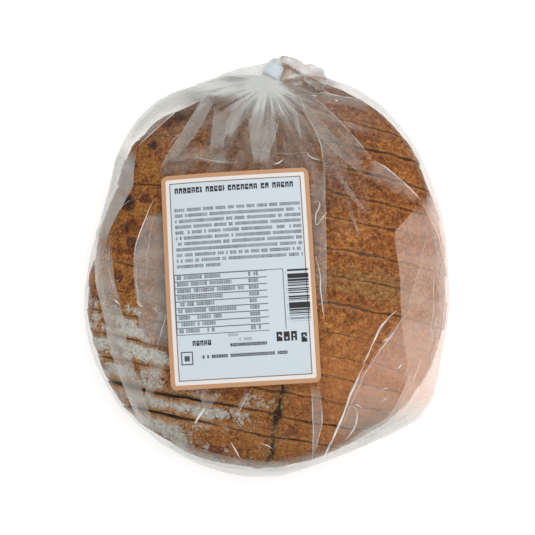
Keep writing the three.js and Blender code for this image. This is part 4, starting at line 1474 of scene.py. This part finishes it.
# Lights, all turned to the pack: (name, place, size, colour)
KEY_PANEL = ("key_panel", (0.3, 0.45, 0.95), (0.4, 0.3), (1.0, 0.98, 0.96))
STRIPS = (
    ("side_strip", (0.7, -0.1, 0.7), (0.08, 0.7), (1.0, 1.0, 1.0)),
    ("front_strip", (-0.2, -0.75, 0.75), (0.7, 0.08), (0.97, 0.99, 1.0)),
)
SKY_COLOUR = (0.98, 0.99, 1.0)
# What the camera looks at, in metres, and the width of its sensor in millimetres
VIEW_AIM = (0.0004, -0.0011, 0.030)
SENSOR_WIDTH = 36
# How many layers of film a line of sight may pass
FILM_LAYERS_SEEN = 32


def add_light(name, place, size, colour, power):
    light = bpy.data.lights.new(name, "AREA")
    light.shape = "RECTANGLE"
    light.size, light.size_y = size
    light.energy = power
    light.color = colour
    obj = bpy.data.objects.new(name, light)
    obj.location = place
    obj.rotation_euler = (-Vector(place)).to_track_quat("-Z", "Y").to_euler()
    bpy.context.collection.objects.link(obj)


class BREAD_OT_stage(Operator):
    """Sets the pale floor, the soft studio light and the camera"""

    bl_idname = "bread.stage"
    bl_label = "Stage"

    def execute(self, context):
        settings = context.scene.bread_stage
        deselect()
        bpy.ops.mesh.primitive_plane_add(size=FLOOR_SIDE)
        floor = context.object
        floor.name = floor.data.name = "studio_floor"
        floor.data.materials.append(floor_material(settings))

        world = bpy.data.worlds.new("soft_room")
        context.scene.world = world
        world.use_nodes = True
        sky = world.node_tree.nodes["Background"]
        sky.inputs[0].default_value = (*SKY_COLOUR, 1)
        sky.inputs[1].default_value = settings.room_light
        add_light(*KEY_PANEL, settings.key_light)
        for strip in STRIPS:
            add_light(*strip, settings.strip_light)

        view = bpy.data.cameras.new("photo_view")
        view.sensor_width = SENSOR_WIDTH
        view.lens = settings.lens
        camera = bpy.data.objects.new("photo_view", view)
        back = Vector((0, -math.cos(settings.elevation), math.sin(settings.elevation)))
        camera.location = Vector(VIEW_AIM) + back * settings.distance
        camera.rotation_euler = (math.pi / 2 - settings.elevation, 0, 0)
        context.collection.objects.link(camera)
        context.scene.camera = camera
        context.scene.view_settings.view_transform = "Standard"
        context.scene.cycles.transparent_max_bounces = FILM_LAYERS_SEEN
        return {"FINISHED"}


# Settings, panel and running


def colour_property(name, description, default):
    kind = {"subtype": "COLOR", "min": 0, "max": 1}
    return FloatVectorProperty(name=name, description=description, default=default, **kind)


def number_property(name, description, default, **kind):
    return FloatProperty(name=name, description=description, default=default, **kind)


def length_property(name, description, default):
    return number_property(name, description, default, unit="LENGTH", subtype="DISTANCE")


class LoafSettings(PropertyGroup):
    """Sizes and colours of the loaf"""

    loaf_height: length_property("Loaf height", "Height of the top crust over the foot", 0.0612)
    grain: IntProperty(
        name="Mesh grain", description="Squares along each side of the starting cube", default=104, min=24
    )
    crust_colour: colour_property("Crust", "Main brown of the crust", linear(162, 94, 38))
    flour_colour: colour_property("Flour", "Colour of the flour on the crust", linear(202, 199, 186))
    crumb_colour: colour_property("Crumb", "Colour of the cut faces", linear(176, 134, 88))


class FilmSettings(PropertyGroup):
    """Film of the bag"""

    mesh_size: length_property("Mesh size", "Size of the squares of the film's mesh", 0.0016)
    film_colour: colour_property("Milky film", "Colour of the folded film", linear(192, 194, 187))
    haze: number_property("Haze", "How milky a single flat layer is", 0.008, min=0, max=1, subtype="FACTOR")


class LabelSettings(PropertyGroup):
    """Sizes and colours of the label"""

    label_width: length_property("Width", "Width of the label", 0.090)
    label_height: length_property("Height", "Height of the label", 0.130)
    label_corner: length_property("Corner", "Radius of the corners", 0.004)
    label_turn: number_property("Turn", "Turn of the label on the pack", math.radians(3.3), subtype="ANGLE")
    paper_colour: colour_property("Paper", "Colour of the printed field", linear(206, 216, 223))
    border_colour: colour_property("Border", "Colour of the outer border", linear(190, 142, 104))


class StageSettings(PropertyGroup):
    """Floor, light and camera"""

    floor_colour: colour_property("Floor", "Colour of the floor", (0.96, 0.96, 0.96))
    room_light: number_property("Room light", "Strength of the light from all round", 0.84, min=0)
    key_light: number_property("Key light", "Power of the main panel", 1.8, min=0, unit="POWER")
    strip_light: number_property("Strip lights", "Power of each strip", 0.8, min=0, unit="POWER")
    lens: number_property("Lens", "Focal length in millimetres", 68, min=10)
    elevation: number_property("Elevation", "Height of the view", math.radians(84), subtype="ANGLE")
    distance: length_property("Distance", "Distance of the camera from the pack", 0.640)


class BREAD_PT_pack(Panel):
    """Lists the steps that make the pack"""

    bl_label = "Loaf in bread bag"
    bl_idname = "BREAD_PT_pack"
    bl_space_type = "VIEW_3D"
    bl_region_type = "UI"
    bl_category = "Bread"

    def draw(self, context):
        for step in STEPS:
            self.layout.operator(step.bl_idname)
        for name in SETTINGS:
            group = getattr(context.scene, name)
            box = self.layout.box()
            for key in group.__annotations__:
                box.prop(group, key)


STEPS = (BREAD_OT_slices, BREAD_OT_film, BREAD_OT_label, BREAD_OT_tape, BREAD_OT_stage)
SETTINGS = {
    "bread_loaf": LoafSettings,
    "bread_film": FilmSettings,
    "bread_label": LabelSettings,
    "bread_stage": StageSettings,
}
CLASSES = (*SETTINGS.values(), *STEPS, BREAD_PT_pack)


def register():
    for item in CLASSES:
        bpy.utils.register_class(item)
    for name, group in SETTINGS.items():
        setattr(bpy.types.Scene, name, PointerProperty(type=group))


def unregister():
    for name in SETTINGS:
        delattr(bpy.types.Scene, name)
    for item in reversed(CLASSES):
        bpy.utils.unregister_class(item)


def main():
    """Makes the pack step by step."""
    register()
    bpy.ops.bread.stage()
    bpy.ops.bread.slices()
    bpy.ops.bread.film()
    bpy.ops.bread.label()
    bpy.ops.bread.tape()


if __name__ == "__main__":
    main()
